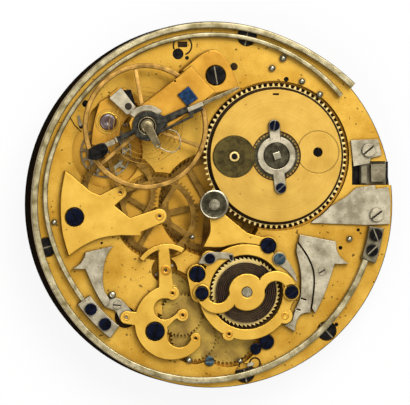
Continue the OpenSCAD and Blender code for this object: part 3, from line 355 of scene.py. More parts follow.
# The plan area inside any of the shapes and none of the cuts, as triangles
def planArea(shapes, cuts):
    loops = list(shapes) + list(cuts)
    area = [np.sum(p[:, 0] * np.roll(p[:, 1], -1) - p[:, 1] * np.roll(p[:, 0], -1)) for p in loops]
    loops = [p if a > 0 else p[::-1] for p, a in zip(loops, area)]
    starts = np.cumsum([0] + [len(p) for p in loops])
    faces = [list(range(a, b)) for a, b in zip(starts[:-1], starts[1:])]
    points, _, tris, _, _, owners = delaunay_2d_cdt([Vector(p) for p in np.vstack(loops)], [], faces, 0, 1e-4)
    kept = [t for t, o in zip(tris, owners) if o and max(o) < len(shapes)]
    return np.array(points), np.array(kept)


# Surfaces: points in mm, and faces

# A flat plate: the plan area raised from low to high, its top edge a quarter round of the edge radius
def plateSurface(shapes, cuts, low, high, edge, edgeSteps=3):
    plan, tris = planArea(shapes, cuts)
    sides = np.vstack((tris[:, (0, 1)], tris[:, (1, 2)], tris[:, (2, 0)]))
    key = sides.min(1) * len(plan) + sides.max(1)
    _, first, count = np.unique(key, return_index=True, return_counts=True)
    rim = sides[first[count == 1]]
    step = plan[rim[:, 1]] - plan[rim[:, 0]]
    length = np.maximum(np.linalg.norm(step, axis=1), 1e-9)
    normal = np.column_stack((-step[:, 1], step[:, 0])) / length[:, None]
    inward = np.zeros_like(plan)
    np.add.at(inward, rim[:, 0], normal)
    np.add.at(inward, rim[:, 1], normal)
    inward *= 2 / np.maximum(np.sum(inward ** 2, 1), 1.2)[:, None]  # mitred, but held back at a sharp corner
    turn = np.radians(np.linspace(0, 90, edgeSteps + 1))
    insets = np.concatenate(([0], edge * (1 - np.cos(turn))))
    heights = np.concatenate(([low], high - edge * (1 - np.sin(turn))))
    rows = [np.column_stack((plan + inward * d, np.full(len(plan), z))) for d, z in zip(insets, heights)]
    points = np.vstack(rows)
    base = len(plan)
    k = np.arange(len(insets) - 1)[:, None] * base
    a, b = rim.T
    walls = np.stack((k + a, k + b, k + base + b, k + base + a), -1).reshape(-1, 4)
    faces = tris[:, ::-1].tolist() + walls.tolist() + (tris + base * (len(insets) - 1)).tolist()
    used = np.unique(np.concatenate([np.array(f) for f in faces]))
    place = np.zeros(len(points), int)
    place[used] = np.arange(len(used))
    return points[used], [tuple(place[list(f)].tolist()) for f in faces]


# Faces of a grid whose rows close on themselves; its end rows are capped, or meet if it is a ring
def gridFaces(rows, cols, ring=False):
    row, col = np.meshgrid(np.arange(rows if ring else rows - 1), np.arange(cols), indexing="ij")
    up, after = (row + 1) % rows, (col + 1) % cols
    faces = np.stack((row * cols + col, row * cols + after, up * cols + after, up * cols + col), -1)
    caps = [] if ring else [tuple(range(cols))[::-1], tuple(range((rows - 1) * cols, rows * cols))]
    return faces.reshape(-1, 4).tolist() + caps


# A turned form: a profile of radius and height carried round an upright axis; a ring's profile is closed
def turnedSurface(centre, profile, steps=48, ring=False):
    r, z = np.asarray(profile, float).T
    turn = np.linspace(0, 2 * np.pi, steps, endpoint=False)
    x = centre[0] + r[:, None] * np.cos(turn)
    y = centre[1] + r[:, None] * np.sin(turn)
    points = np.stack((x, y, np.broadcast_to(z[:, None], x.shape)), -1).reshape(-1, 3)
    return points, gridFaces(len(r), steps, ring)


# A section of across and up carried along a flat path; ends are closed
def sweptSurface(path, height, section):
    path, section = np.asarray(path, float), np.asarray(section, float)
    along = np.gradient(path, axis=0)
    along /= np.linalg.norm(along, axis=1)[:, None]
    across = np.column_stack((-along[:, 1], along[:, 0]))
    flat = path[:, None] + across[:, None] * section[None, :, :1]
    up = np.broadcast_to(height + section[None, :, 1:], (len(path), len(section), 1))
    points = np.concatenate((flat, up), -1).reshape(-1, 3)
    return points, gridFaces(len(path), len(section))


# A rounded box as a section: width, height, corner radius
def roundSection(width, height, corner):
    centres = [(width / 2 - corner, corner), (width / 2 - corner, height - corner),
        (corner - width / 2, height - corner), (corner - width / 2, corner)]
    return np.vstack([arc(c, corner, 90 * k - 90, 90 * k) for k, c in enumerate(centres)])


# A piece made of surfaces, riding on a CAD node's body; it may stand for that node
def addPiece(name, surfaces, finish, node="main_plate", replaced=False, sharp=10):
    starts = np.cumsum([0] + [len(points) for points, faces in surfaces])
    points = np.vstack([points for points, faces in surfaces])
    faces = [tuple(i + start for i in face) for start, (_, faces) in zip(starts, surfaces) for face in faces]
    mesh = bpy.data.meshes.new(name)
    mesh.from_pydata((points * mm).tolist(), [], faces)
    mesh.validate()
    mesh.shade_smooth()
    mesh.set_sharp_from_angle(angle=math.radians(sharp))
    mesh.materials.append(finishes[finish])
    piece = bpy.data.objects.new(name, mesh)
    bpy.context.scene.collection.objects.link(piece)
    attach(piece, nodeBody[node])
    if replaced:
        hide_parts(node)


def levels(node):
    low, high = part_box(node)
    return low[2] / mm, high[2] / mm


# One plate, level being its low, high and edge
def addPlate(name, finish, shapes, level, cuts=(), **settings):
    addPiece(name, [plateSurface(shapes, cuts, *level)], finish, **settings)


# A plate that stands for a CAD node, at that node's height
def makePlate(node, finish, shapes, cuts=(), edge=0.1):
    addPlate(node + "_piece", finish, shapes, (*levels(node), edge), cuts, node=node, replaced=True)


# One turned form
def addTurned(name, finish, at, profile, steps=48, ring=False, sharp=30, **settings):
    addPiece(name, [turnedSurface(at, profile, steps, ring)], finish, sharp=sharp, **settings)


# Places of the arbors in plan, read from the joints

pivot = {j["name"]: (j["pos_m"][0] / mm, j["pos_m"][1] / mm) for j in frame["joints"] if "pos_m" in j}
third, fourth, escape = (pivot[n + "_wheel_turn"] for n in ("third", "fourth", "escape"))
barrel, pallet, balance = pivot["barrel_turn"], pivot["lever_swing"], pivot["balance_swing"]
great, fly, click = pivot["great_wheel_turn"], pivot["fly_turn"], pivot["click_lift"]
second, rear, upper, last = (pivot["strike_" + n + "_turn"] for n in ("second", "rear", "upper", "last"))
leftHammer = pivot["left_hammer_swing"]
centre = (0, 0)
# screws and posts that bridges are cut for
goingScrew, strikeScrew, centreScrew = (-17.47, -1.56), (-7.36, -15.81), (6.9, -5.19)
ringScrew, leftPost, rightPost = (-2.07, -8.69), (-1.63, -11.06), (9.75, -10.94)
clickScrew, springScrew, cockScrew = (-0.55, -6.75), (8.29, -6.81), (0, 16.06)
hammerPost = (9.05, -13.94)
pivotHole = 0.2


# Bridges

goingBridge = dict(finish="smooth_gilt_brass", shapes=[loop(
        ((-18.17, -6.4), (-18.68, -4.7), (-19.03, -3.14), (-19.19, -1.27), (-19.19, 0.59), (-19.03, 2.15),
            (-18.64, 4.17)),
        ((-18.64, 4.17), (-17.66, 3.5), (-16.5, 2.5), (-15.4, 1.62), (-14.32, 1.14)),
        arc(fourth, 0.83, 117, -60), ((-12.44, -0.15), (-10.54, -1.66)),
        arc(third, 0.93, 108, -72), ((-9.13, -3.45), (-9.13, -3.91)),
        ((-11.57, -3.84), (-13.45, -4.04), (-15.03, -4.5), (-16.6, -5.29), (-18.17, -6.4)))],
    cuts=[circle(goingScrew, 1.18), circle(third, pivotHole), circle(fourth, pivotHole)])
makePlate("going_bridge", **goingBridge)

centreBridge = dict(finish="smooth_gilt_brass", shapes=[loop(
        ((-0.6, -1.32), (-0.42, -2.2), (-0.42, -3.4), (-0.78, -4.3), (-1.3, -5.3)),
        ((-1.3, -5.3), (0.9, -5.35), (2.2, -5.05), (4.15, -4.85), (6.2, -5.6)),
        arc(centreScrew, 1.22, -120, 110),
        ((6.3, -4.12), (5.3, -3.85), (4.28, -3.5), (3.3, -2.75), (2.29, -1.94), (1.05, -0.9))),
        circle(centre, 1.45)],
    cuts=[circle(great, 6.06), circle(centre, 0.54), circle(centreScrew, 1.03), circle(springScrew, 0.98)])
makePlate("centre_bridge", **centreBridge)

strikeBridge = dict(crook=loop(
        arc((-5.24, -14.69), 4.68, 80, 321), arc(rear, 0.69, -15, 172), arc((-4.28, -16.3), 1.53, -18, -200),
        ((-5.78, -15.3), (-5.36, -14.91), (-4.92, -14.42), (-4.6, -14.26)), arc(upper, 0.78, -143, 162),
        ((-4.9, -13.75), (-5.15, -13.98), (-5.5, -14.18)), arc((-6.18, -13.02), 1.3, -60, -290),
        arc(last, 0.87, -136, 85)),
    neck=((-6.9, -11.4), (-4.95, -10.9), (-5.33, -7.6), (-5.62, -5.2), (-7.05, -5.15), (-6.86, -9.0)),
    head=band((-5.85, -9.03), 3.5, 4.15, 58, 146), screw=circle(strikeScrew, 1.18), edge=0.1,
    lug=bar((-8.9, -14.35), leftHammer, 0.88, 0.8), lugRoom=0.75, lugDrop=0.003)
low, high = levels("strike_bridge")
fingers = plateSurface([strikeBridge["crook"], np.array(strikeBridge["neck"]), strikeBridge["head"]],
    [strikeBridge["screw"]] + [circle(at, pivotHole) for at in (fly, last, upper, rear)],
    low, high, strikeBridge["edge"])
lug = plateSurface([strikeBridge["lug"]], [circle(leftHammer, pivotHole)], low + strikeBridge["lugRoom"],
    high - strikeBridge["lugDrop"], strikeBridge["edge"])
addPiece("strike_bridge_piece", [fingers, lug], "smooth_gilt_brass", "strike_bridge", True)

springRing = dict(finish="smooth_gilt_brass", shapes=[circle(great, 6.0),
        bar(leftPost, ringScrew, 1.25), bar((8.6, -12.6), rightPost, 1.1),
        bar((8.0, -13.0), hammerPost, 1.0), bar((1.2, -7.2), clickScrew, 1.0),
        bar((7.3, -7.8), springScrew, 0.93), bar((2.6, -15.2), second, 0.86)],
    cuts=[circle(great, 4.63), circle(second, pivotHole), circle(leftPost, 0.42),
        circle(ringScrew, 1.02), circle(rightPost, 0.42), circle(springScrew, 0.37)])
makePlate("spring_ring", **springRing)

# S-shaped bridge: a hub, and the same arm and eye on both sides
sArm = dict(reach=3.67, radii=(1.35, 2.68), sweep=(-4, 182), eyeReach=5.65, eye=1.05)
springBridge = dict(finish="smooth_gilt_brass", shapes=[circle(great, 2.34)], edge=0.14,
    cuts=[circle(great, 0.64), circle(leftPost, 0.88), circle(rightPost, 0.88)])
for turn in (0, 180):
    start, end = np.add(sArm["sweep"], turn)
    springBridge["shapes"] += [band(polar(great, sArm["reach"], turn), *sArm["radii"], start, end),
        circle(polar(great, sArm["eyeReach"], turn), sArm["eye"])]
makePlate("spring_bridge", **springBridge)
print("bridges made")


# Hammers, springs and other flat steel

leftPlan = dict(body=loop(
        ((-12.6, -5.18), (-13.19, -5.94), (-13.7, -7.41), (-13.9, -9.2), (-13.7, -10.73), (-13.06, -11.75)),
        (-13.1, -12.3),
        ((-13.58, -12.76), (-14.22, -11.88), (-15.12, -10.2), (-15.77, -8.7), (-16.06, -8.05)),
        ((-17.7, -8.0), (-16.8, -7.41), (-16.28, -6.65), (-16.05, -5.94))), level=(6.1, 6.95, 0.07),
    lug=loop(((-13.4, -11.9), (-12.4, -11.62), (-11.5, -11.9), (-10.7, -12.75), (-10.15, -13.4)),
        arc(leftHammer, 0.8, 20, -150), ((-11.75, -14.3), (-12.2, -13.35), (-12.75, -13.05), (-13.5, -12.8))),
    lugLevel=(6.12, 6.62, 0.06), stem=0.4, stemTop=6.6, pivot=0.16)
low, high = levels("left_hammer")
stem = turnedSurface(leftHammer, ((leftPlan["stem"], low), (leftPlan["stem"], leftPlan["stemTop"]),
    (leftPlan["pivot"], leftPlan["stemTop"]), (leftPlan["pivot"], high)), 24)
addPiece("left_hammer_piece", [plateSurface([leftPlan["body"]], [], *leftPlan["level"]),
    plateSurface([leftPlan["lug"]], [], *leftPlan["lugLevel"]), stem], "stoned_steel", "left_hammer", True)

rightPlan = dict(finish="stoned_steel", level=(6.1, 7.0, 0.07), shapes=[loop(
    ((15.58, -4.64), (15.62, -5.5), (15.95, -6.35), (16.5, -6.95), (17.2, -7.44)),
    ((15.38, -7.46), (14.9, -9.0), (14.1, -11.2), (13.3, -12.9), (12.9, -13.65)),
    ((12.5, -12.95), (12.68, -11.78), (12.86, -9.75), (12.68, -8.0), (11.9, -6.28), (10.8, -4.7)),
    (10.94, -3.76))])
addPlate("right_hammer_piece", **rightPlan, node="right_hammer", replaced=True)

hammerSpring = dict(finish="stoned_steel", edge=0.08, shapes=[loop(
        ((10.66, -4.78), (11.78, -6.36), (12.56, -8.04), (12.74, -9.75), (12.56, -11.78), (12.36, -12.98),
            (12.4, -13.6)),
        ((12.3, -13.6), (11.73, -13.58), (11.1, -13.85), (10.72, -14.4), (10.48, -15.1), (10.37, -15.94)),
        ((8.98, -15.06), (9.9, -14.5), (10.25, -13.6), (10.6, -12.7), (11.0, -11.7), (11.12, -10.6),
            (11.15, -9.4), (11.06, -8.3), (10.85, -7.2), (10.53, -5.89)))],
    cuts=[circle(hammerPost, 1.08), bar((11.15, -11.75), (11.75, -11.95), 0.08),
        bar((10.55, -13.1), (11.0, -13.22), 0.08)])
makePlate("hammer_spring", **hammerSpring)

clickPlan = dict(finish="stoned_steel", edge=0.05, shapes=[loop(
        ((-1.92, -7.42), (-1.75, -6.95), (-1.3, -6.35), (-0.6, -5.95), (0.34, -5.95), (1.56, -5.98),
            (2.4, -6.16)),
        ((2.5, -6.95), (2.18, -7.12), (1.95, -6.85), (1.39, -6.8), (0.6, -6.8), (0.1, -7.2), (-0.5, -7.5),
            (-1.25, -7.38)))], cuts=[circle(click, 0.36)])
makePlate("click", **clickPlan)
# painted shade: a dark piece on the click's nose
hook = dict(plan=((1.88, -6.3), (2.36, -6.3), (2.42, -6.9), (2.2, -7.02), (2.02, -6.78)), depth=0.1,
    rise=0.02)
high = levels("click")[1]
addPlate("click_hook", "blackened_steel_and_shade", [np.array(hook["plan"])],
    (high - hook["depth"], high + hook["rise"], hook["rise"]), node="click")

clickSpring = dict(finish="stoned_steel", edge=0.05, shapes=[circle(springScrew, 0.85), loop(
        ((8.7, -6.3), (9.55, -7.3), (10.25, -8.53), (10.55, -9.8)),
        ((9.98, -9.1), (9.21, -8.25), (8.3, -7.6)))],
    cuts=[circle(springScrew, 0.37)])
makePlate("click_spring", **clickSpring)

collar = dict(outer=2.44, inner=1.63, lug=0.75, screws=((-0.31, 3.78), (0.5, -4.04)), screwHole=0.36,
    edge=0.12)
lugs = [np.add(barrel, screw) for screw in collar["screws"]]
makePlate("barrel_collar", "stoned_steel",
    [circle(barrel, collar["outer"])] + [bar(barrel, at, collar["lug"]) for at in lugs],
    [circle(barrel, collar["inner"])] + [circle(at, collar["screwHole"]) for at in lugs], collar["edge"])
print("steel work made")


# Gongs: a wire that eases outward from its block, runs round the edge and opens at its free end

def gongPath(block, run, start, sweep, ease, flare, flareSweep=30, steps=220):
    t = np.linspace(0, sweep, steps)
    r = block + (run - block) * (1 - np.cos(np.pi * np.minimum(t / ease, 1))) / 2
    r = r + flare * np.clip((t - sweep + flareSweep) / flareSweep, 0, 1) ** 2
    turn = np.radians(start - t)
    return np.column_stack((r * np.cos(turn), r * np.sin(turn)))


gongs = {
    "outer_gong": dict(path=dict(block=20.55, run=22.42, start=-19, sweep=301, ease=110, flare=0.75),
        width=0.82, block=(20.9, -19.8, -7.8), screws=((-10.45, 0.42), (-15.93, 0.4)),
        finish="browned_block_steel"),
    "inner_gong": dict(path=dict(block=20.2, run=21.22, start=217, sweep=177, ease=50, flare=0),
        width=0.62, block=(20.15, 216, 232), screws=((220.1, 0.4), (227.4, 0.41)), finish="stoned_steel")}
gongLevel = dict(low=6.3, height=0.7, corner=0.2, block=(6.0, 7.1, 0.1), halfBlock=0.95)
for node, gong in gongs.items():
    wire = sweptSurface(gongPath(**gong["path"]), gongLevel["low"],
        roundSection(gong["width"], gongLevel["height"], gongLevel["corner"]))
    addPiece(node + "_piece", [wire], "hardened_wire_steel", node, True, 30)
    reach, start, end = gong["block"]
    block = band(centre, reach - gongLevel["halfBlock"], reach + gongLevel["halfBlock"], start, end)
    addPlate(node + "_block", gong["finish"], [block], gongLevel["block"],
        [circle(polar(centre, reach, turn), radius) for turn, radius in gong["screws"]])
print("gongs made")


# Spiral springs: a flat strip whose radius grows evenly with the turn

def spiral(centre, inner, outer, turns, start, turnSteps=72):
    t = np.linspace(0, 1, int(turns * turnSteps))
    turn = np.radians(start) + 2 * np.pi * turns * t
    r = inner + (outer - inner) * t
    return np.column_stack((centre[0] + r * np.cos(turn), centre[1] + r * np.sin(turn)))


spirals = {
    "hairspring": dict(path=dict(centre=balance, inner=0.95, outer=5.0, turns=7, start=137),
        strip=(0.06, 0.3, 0.02), level=7.2, finish="gilded_spring_wire"),
    "repeat_spring": dict(path=dict(centre=great, inner=2.36, outer=3.86, turns=6, start=60),
        strip=(0.15, 0.62, 0.04), level=6.29, finish="browned_spring_steel")}
for node, spring in spirals.items():
    strip = sweptSurface(spiral(**spring["path"]), spring["level"], roundSection(*spring["strip"]))
    addPiece(node + "_piece", [strip], spring["finish"], node, True, 40)
print("spiral springs made")


# Balance, cock and regulator

balanceWheel = dict(radius=7.85, rim=0.62, height=0.6, corner=0.13, low=7.9, arms=(100, 220, 340),
    armWidth=0.46, hub=1.0, hole=0.35, armLevel=(8.0, 8.3, 0.05))
middle = balanceWheel["radius"] - balanceWheel["rim"] / 2
rimSection = roundSection(balanceWheel["rim"], balanceWheel["height"], balanceWheel["corner"])
rim = turnedSurface(balance, rimSection + (middle, balanceWheel["low"]), 160, True)
arm = boxAt((middle / 2, 0), middle, balanceWheel["armWidth"])
arms = plateSurface([placed(arm, balance, turn) for turn in balanceWheel["arms"]]
    + [circle(balance, balanceWheel["hub"])], [circle(balance, balanceWheel["hole"])],
    *balanceWheel["armLevel"])
addPiece("balance_wheel_piece", [rim, arms], "rose_gilt_brass", "balance_wheel", True, 30)

cock = dict(turn=37.9, armLow=8.75, armEdge=0.1, footHigh=8.95, footEdge=0.14,
    arm=((9.35, -1.93), (9.0, 2.5), (0.2, 2.5), (-1.5, 1.7), (-2.1, 0.3), (-1.4, -1.55), (0.1, -1.93)),
    foot=loop(((-3.35, 17.4), (-2.4, 18.2), (-1.6, 18.8), (-0.34, 19.25), (0.8, 18.8), (1.68, 17.56),
        (2.32, 16.2), (2.82, 14.94)), ((2.82, 14.5), (0.04, 13.8)), ((-0.9, 12.9), (-4.2, 16.7))),
    screw=circle(cockScrew, 1.23), dot=circle((-5.2, 15.3), 0.12))
cockLow, cockHigh = levels("balance_cock")
foot = plateSurface([cock["foot"]], [cock["screw"]], cockLow, cock["footHigh"], cock["footEdge"])
arm = plateSurface([placed(cock["arm"], balance, cock["turn"])], [circle(balance, pivotHole), cock["dot"]],
    cock["armLow"], cockHigh, cock["armEdge"])
addPiece("balance_cock_piece", [foot, arm], "orange_gilt_brass", "balance_cock", True)


# Shapes given along and across the regulator's pointer
def alongRegulator(*shapes, turn=23.7):
    return [placed(shape, balance, turn) for shape in shapes]


regulator = dict(finish="gunmetal_steel", shapes=[circle(balance, 1.85)] + alongRegulator(
        ((1.3, -1.1), (2.35, -1.0), (2.6, 0.1), (2.1, 0.75), (1.3, 0.9)),
        bar((1.5, -0.2), (5.6, -0.1), 0.5, 0.38), bar((1.2, -1.3), (5.7, -1.15), 0.17, 0.14),
        bar((-1.4, 0.05), (-3.9, 0.0), 0.34, 0.3), boxAt((6.3, -0.72), 1.9, 0.5)),
    cuts=[circle(balance, 1.22)], level=(9.48, 9.8, 0.07))
addPlate("regulator_arms", **regulator, node="regulator", replaced=True)
pointer = dict(finish="warm_cap_steel", level=(9.52, 9.78, 0.06), shapes=alongRegulator(
    ((7.2, -0.5), (12.2, -0.42), (12.7, -0.22), (12.2, -0.04), (7.2, 0.02))))
addPlate("regulator_pointer", **pointer, node="regulator")
clamps = dict(level=(9.5, 9.92, 0.09), plans=alongRegulator(
    boxAt((6.5, -0.2), 2.1, 0.62), boxAt((-5.35, -0.12), 1.7, 0.66), boxAt((-4.25, -0.02), 0.28, 0.7)))
addPiece("regulator_clamps", [plateSurface([plan], [], *clamps["level"]) for plan in clamps["plans"]],
    "stoned_steel", "regulator")

curb = dict(blued=((-4.91, 13.65), (-3.54, 14.69), (-2.33, 13.18), (-3.69, 12.22)), bluedRoom=0.02,
    bluedHigh=9.85, bluedEdge=0.08, blackLow=9.5, blackEdge=0.12,
    black=((-8.4, -0.75), (-7.7, -1.25), (-6.6, -1.35), (-5.7, -0.85), (-5.75, 0.2), (-6.7, 0.45),
        (-7.9, 0.3)))
addPlate("compensation_curb_blued", "cornflower_steel", [np.array(curb["blued"])],
    (cockHigh + curb["bluedRoom"], curb["bluedHigh"], curb["bluedEdge"]), node="compensation_curb",
    replaced=True)
addPlate("compensation_curb_black", "blackened_steel_and_shade", alongRegulator(curve(curb["black"], 3)),
    (curb["blackLow"], levels("compensation_curb")[1], curb["blackEdge"]), node="compensation_curb")

endstone = dict(floor=((1.21, 9.44), (1.21, 9.5), (0.1, 9.5)),
    seat=roundSection(0.16, 0.38, 0.05) + (1.08, 9.46),
    cap=((0.88, 9.46), (0.88, 9.92), (0.8, 10.0), (0.62, 10.01), (0.52, 9.97), (0.3, 9.96), (0.05, 9.96)),
    tail=(1.3, -2.35), tailEnds=(0.62, 0.4), tailHole=0.14, tailLevel=(9.86, 10.03, 0.05),
    spring=((1.35, -2.45), (2.2, -3.0), (3.3, -3.2), (4.05, -2.5), (4.1, -1.5), (3.6, -0.7), (2.7, -0.4)),
    springLevel=9.88, wire=roundSection(0.13, 0.13, 0.06))
# painted shade: a black floor in the gap round the cap's seat
addTurned("endstone_floor", "blackened_steel_and_shade", balance, endstone["floor"], sharp=10)
tailEnd = np.add(balance, endstone["tail"])
tail = plateSurface([bar(balance, tailEnd, *endstone["tailEnds"])], [circle(tailEnd, endstone["tailHole"])],
    *endstone["tailLevel"])
addPiece("endstone_cap_piece", [turnedSurface(balance, endstone["cap"]), tail,
    turnedSurface(balance, endstone["seat"], 64, True)], "warm_cap_steel", "endstone_cap", True, 30)
wire = sweptSurface(curve(np.add(balance, endstone["spring"])), endstone["springLevel"], endstone["wire"])
addPiece("endstone_spring", [wire], "stoned_steel", sharp=40)


# Shapes given along and across the line from the balance to the stud
def alongStud(*shapes, turn=132):
    return [placed(shape, balance, turn) for shape in shapes]


# The stud plate stands on a gilt pillar outside the spring and reaches in over it
studLow = levels("stud_plate")[0]
studPieces = {
    "stud_plate_piece": dict(finish="stoned_steel", level=(7.6, 7.82, 0.05), node="stud_plate", replaced=True,
        shapes=alongStud(((5.6, -0.98), (5.6, 0.98), (2.6, 0.72), (2.3, 0.2), (2.6, -0.75)))),
    "stud_block": dict(finish="blackened_steel_and_shade", level=(7.6, 7.82, 0.05),
        shapes=alongStud(((5.2, -1.0), (4.6, -1.75), (2.9, -1.0), (2.9, -0.72)))),
    "stud_screw": dict(finish="slot_shadow_steel", level=(7.79, 7.88, 0.03),
        shapes=[circle(at, 0.44) for at in alongStud((3.25, -0.1))]),
    "stud_pillar": dict(finish="orange_gilt_brass", level=(studLow, 7.62, 0.05),
        shapes=alongStud(boxAt((5.68, 0), 0.36, 1.5))),
    "cock_steel_segment": dict(finish="stoned_steel", level=(9.44, 9.62, 0.06),
        shapes=[band(balance, 1.9, 2.62, 44, 146)])}
for name, plate in studPieces.items():
    addPlate(name, **plate)

palletCock = dict(finish="orange_gilt_brass", edge=0.08, shapes=[loop(
        ((-15.3, 7.44), (-15.2, 8.9), (-14.9, 10.56), (-14.3, 12.7)),
        ((-14.3, 12.7), (-12.65, 13.7), (-11.2, 14.55)),
        ((-9.6, 13.5), (-9.3, 12.0), (-10.1, 11.3), (-11.4, 9.94), (-11.8, 8.6), (-12.4, 6.6))),
        bar(pallet, escape, 0.8)],
    cuts=[circle((-10.15, 12.06), 0.68), circle(escape, pivotHole), circle(pallet, 1.02)])
makePlate("pallet_cock", **palletCock)

chaton = dict(finish="smooth_gilt_brass", at=pallet, steps=64, ring=True, profile=(
    (1.03, 6.5), (1.56, 6.5), (1.56, 6.72), (1.5, 6.78), (1.42, 6.78), (1.36, 6.72), (1.27, 6.72),
    (1.2, 6.82), (1.12, 6.84), (1.03, 6.76)))
addTurned("pallet_chaton", **chaton)
jewel = dict(finish="ruby", at=pallet, profile=(
    (1.0, 6.25), (1.0, 6.66), (0.9, 6.72), (0.5, 6.74), (0.3, 6.68), (0.1, 6.62)))
addTurned("pallet_jewel_piece", **jewel, node="pallet_jewel", replaced=True)
print("balance and cock made")


# Screws: a disc with a slotted disc on top, so the slot's floor can be another steel; the black and dark slot
# floors are painted shade.
# Each screw has a place, radius, seat height and turn of its slot, and may be cut flat.

screws = {
    "large_screws": ("blued_steel", "blackened_steel_and_shade", ((goingScrew, 1.1, 6.95, 118),
        (strikeScrew, 1.1, 6.95, 75), (centreScrew, 0.95, 6.95, 45), (ringScrew, 0.94, 6.95, 85),
        ((6.84, -17.19), 0.94, 5.9, 45))),
    "small_screws": ("blued_steel", "blackened_steel_and_shade", ((leftPost, 0.8, 7.7, 40),
        (rightPost, 0.8, 7.7, 30), (clickScrew, 0.64, 7.45, 35), ((5.45, -18.06), 0.7, 5.9, 38),
        ((-15.46, -13.02), 0.75, 7.1, 47), ((-13.68, -14.88), 0.78, 7.1, 40))),
    "teal_screws": ("teal_steel", "blued_slot_steel", ((springScrew, 0.7, 7.45, 38),
        ((-0.36, -19.56), 0.6, 5.9, 5))),
    "dark_screws": ("blackened_steel_and_shade", "stoned_steel", ((cockScrew, 1.15, 8.8, 100),
        ((20.55, -3.79), 0.8, 7.1, 112), ((20.1, -5.74), 0.75, 7.1, 42))),
    "case_screws": ("blackened_steel_and_shade", "stoned_steel", tuple(
        (polar(centre, 21.5, turn), 1.15, 5.65, turn, flat)
        for turn, flat in ((78.2, 0), (194.3, 0), (-47.5, 0), (-78.9, 20.95)))),
    "steel_screws": ("stoned_steel", "slot_shadow_steel", (((19.75, 6.81), 0.85, 6.45, 40),
        ((20.77, -1.31), 0.85, 6.45, 37)))}
screwHead = dict(height=0.45, slot=0.18, slotLong=2.4, depth=0.16, edge=0.07, room=0.02)
hammerScrews = {"left_hammer": ((-12.08, -12.55), 0.5, 6.52, -6),
    "right_hammer": ((13.75, -8.39), 0.5, 6.88, 30)}
hammerHead = dict(height=0.24, slot=0.15, slotLong=2.4, depth=0.1, edge=0.04, room=0.02)


# flat is the reach from the plate's middle to a side that is cut away
def slottedHead(at, radius, seat, turn, flat=0, head=screwHead):
    high = seat + head["height"]
    floor = high - head["depth"]
    side = [circle(centre, flat)] if flat else []
    base = plateSurface([circle(at, radius - head["room"])], side, seat, floor, head["room"])
    slot = placed(boxAt(centre, radius * head["slotLong"], head["slot"]), at, turn)
    return base, plateSurface([circle(at, radius)], [slot] + side, floor, high, head["edge"])


for name, (finish, slotFinish, places) in screws.items():
    bases, tops = zip(*[slottedHead(*place) for place in places])
    replaced = name in cadNodes
    addPiece(name + "_heads", tops, finish, name if replaced else "main_plate", replaced)
    addPiece(name + "_slots", bases, slotFinish)
for name, place in hammerScrews.items():
    base, top = slottedHead(*place, head=hammerHead)
    addPiece(name + "_screw", [top], "stoned_steel", name)
    addPiece(name + "_screw_slot", [base], "slot_shadow_steel", name)
print("screws made")


# Bushes, the button, the barrel's fittings and the solid webs of the striking wheels

bushes = dict(places=((third, 0.56), (fourth, 0.42), (last, 0.4), (upper, 0.46), (rear, 0.34), (fly, 0.66),
    (leftHammer, 0.42), (second, 0.46), (hammerPost, 0.5)), level=7.1, sink=0.05, wall=0.02, rise=0.045,
    bevel=0.06, dish=0.08, lip=0.01)


def bushRing(at, outer):
    level = bushes["level"]
    low, high = level - bushes["sink"], level + bushes["rise"]
    section = ((pivotHole, low), (outer, low), (outer, level + bushes["wall"]),
        (outer - bushes["bevel"], high), (pivotHole + bushes["dish"], high),
        (pivotHole, level + bushes["lip"]))
    return turnedSurface(at, section, 40, True)


addPiece("bridge_bushes", [bushRing(*bush) for bush in bushes["places"]], "orange_gilt_brass", sharp=30)

stopAt = (2.68, 5.99)
fittings = {
    "button_rim": dict(finish="polished_steel", node="centre_arbor", at=centre, steps=72, ring=True, profile=(
        (1.5, 7.3), (1.8, 7.3), (1.84, 7.36), (1.84, 7.78), (1.78, 7.87), (1.68, 7.9), (1.58, 7.86),
        (1.5, 7.78))),
    "button_dish": dict(finish="dark_dished_steel", node="centre_arbor", at=centre, profile=(
        (1.56, 7.4), (1.56, 7.8), (1.3, 7.77), (0.9, 7.765), (0.72, 7.78), (0.05, 7.78))),
    "button_boss": dict(finish="polished_steel", node="centre_arbor", at=centre, profile=(
        (0.72, 7.6), (0.72, 7.9), (0.66, 7.95), (0.05, 7.96))),
    "stop_disc_piece": dict(finish="turned_dark_bronze", node="stop_disc", replaced=True, at=stopAt, steps=72,
        profile=((2.66, 6.5), (2.66, 6.67), (2.62, 6.71), (2.4, 6.71), (0.05, 6.7))),
    "stop_tube": dict(finish="pale_gilt_brass", node="stop_disc", at=stopAt, steps=40, ring=True, profile=(
        (0.36, 6.6), (0.66, 6.6), (0.66, 6.9), (0.6, 6.97), (0.44, 6.98), (0.36, 6.92))),
    # black floors in the stop tube and in the lid's hole: painted shade
    "stop_tube_hole": dict(finish="blackened_steel_and_shade", node="stop_disc", at=stopAt, steps=24, sharp=10,
        profile=((0.37, 6.65), (0.37, 6.73), (0.05, 6.73))),
    "lid_hole": dict(finish="blackened_steel_and_shade", node="barrel_lid", at=(13.24, 6.5), steps=32, sharp=10,
        profile=((0.47, 6.3), (0.47, 6.66), (0.02, 6.66)))}
webs = {"strike_second": (second, 3.25, 4.49), "strike_rear": (rear, 2.42, 4.99),
    "strike_upper": (upper, 2.2, 5.49), "strike_last": (last, 2.17, 4.49)}
webShape = dict(thick=0.3, step=0.3, boss=0.6, bossRise=0.01, hub=0.4, hubRise=0.03, point=0.1)
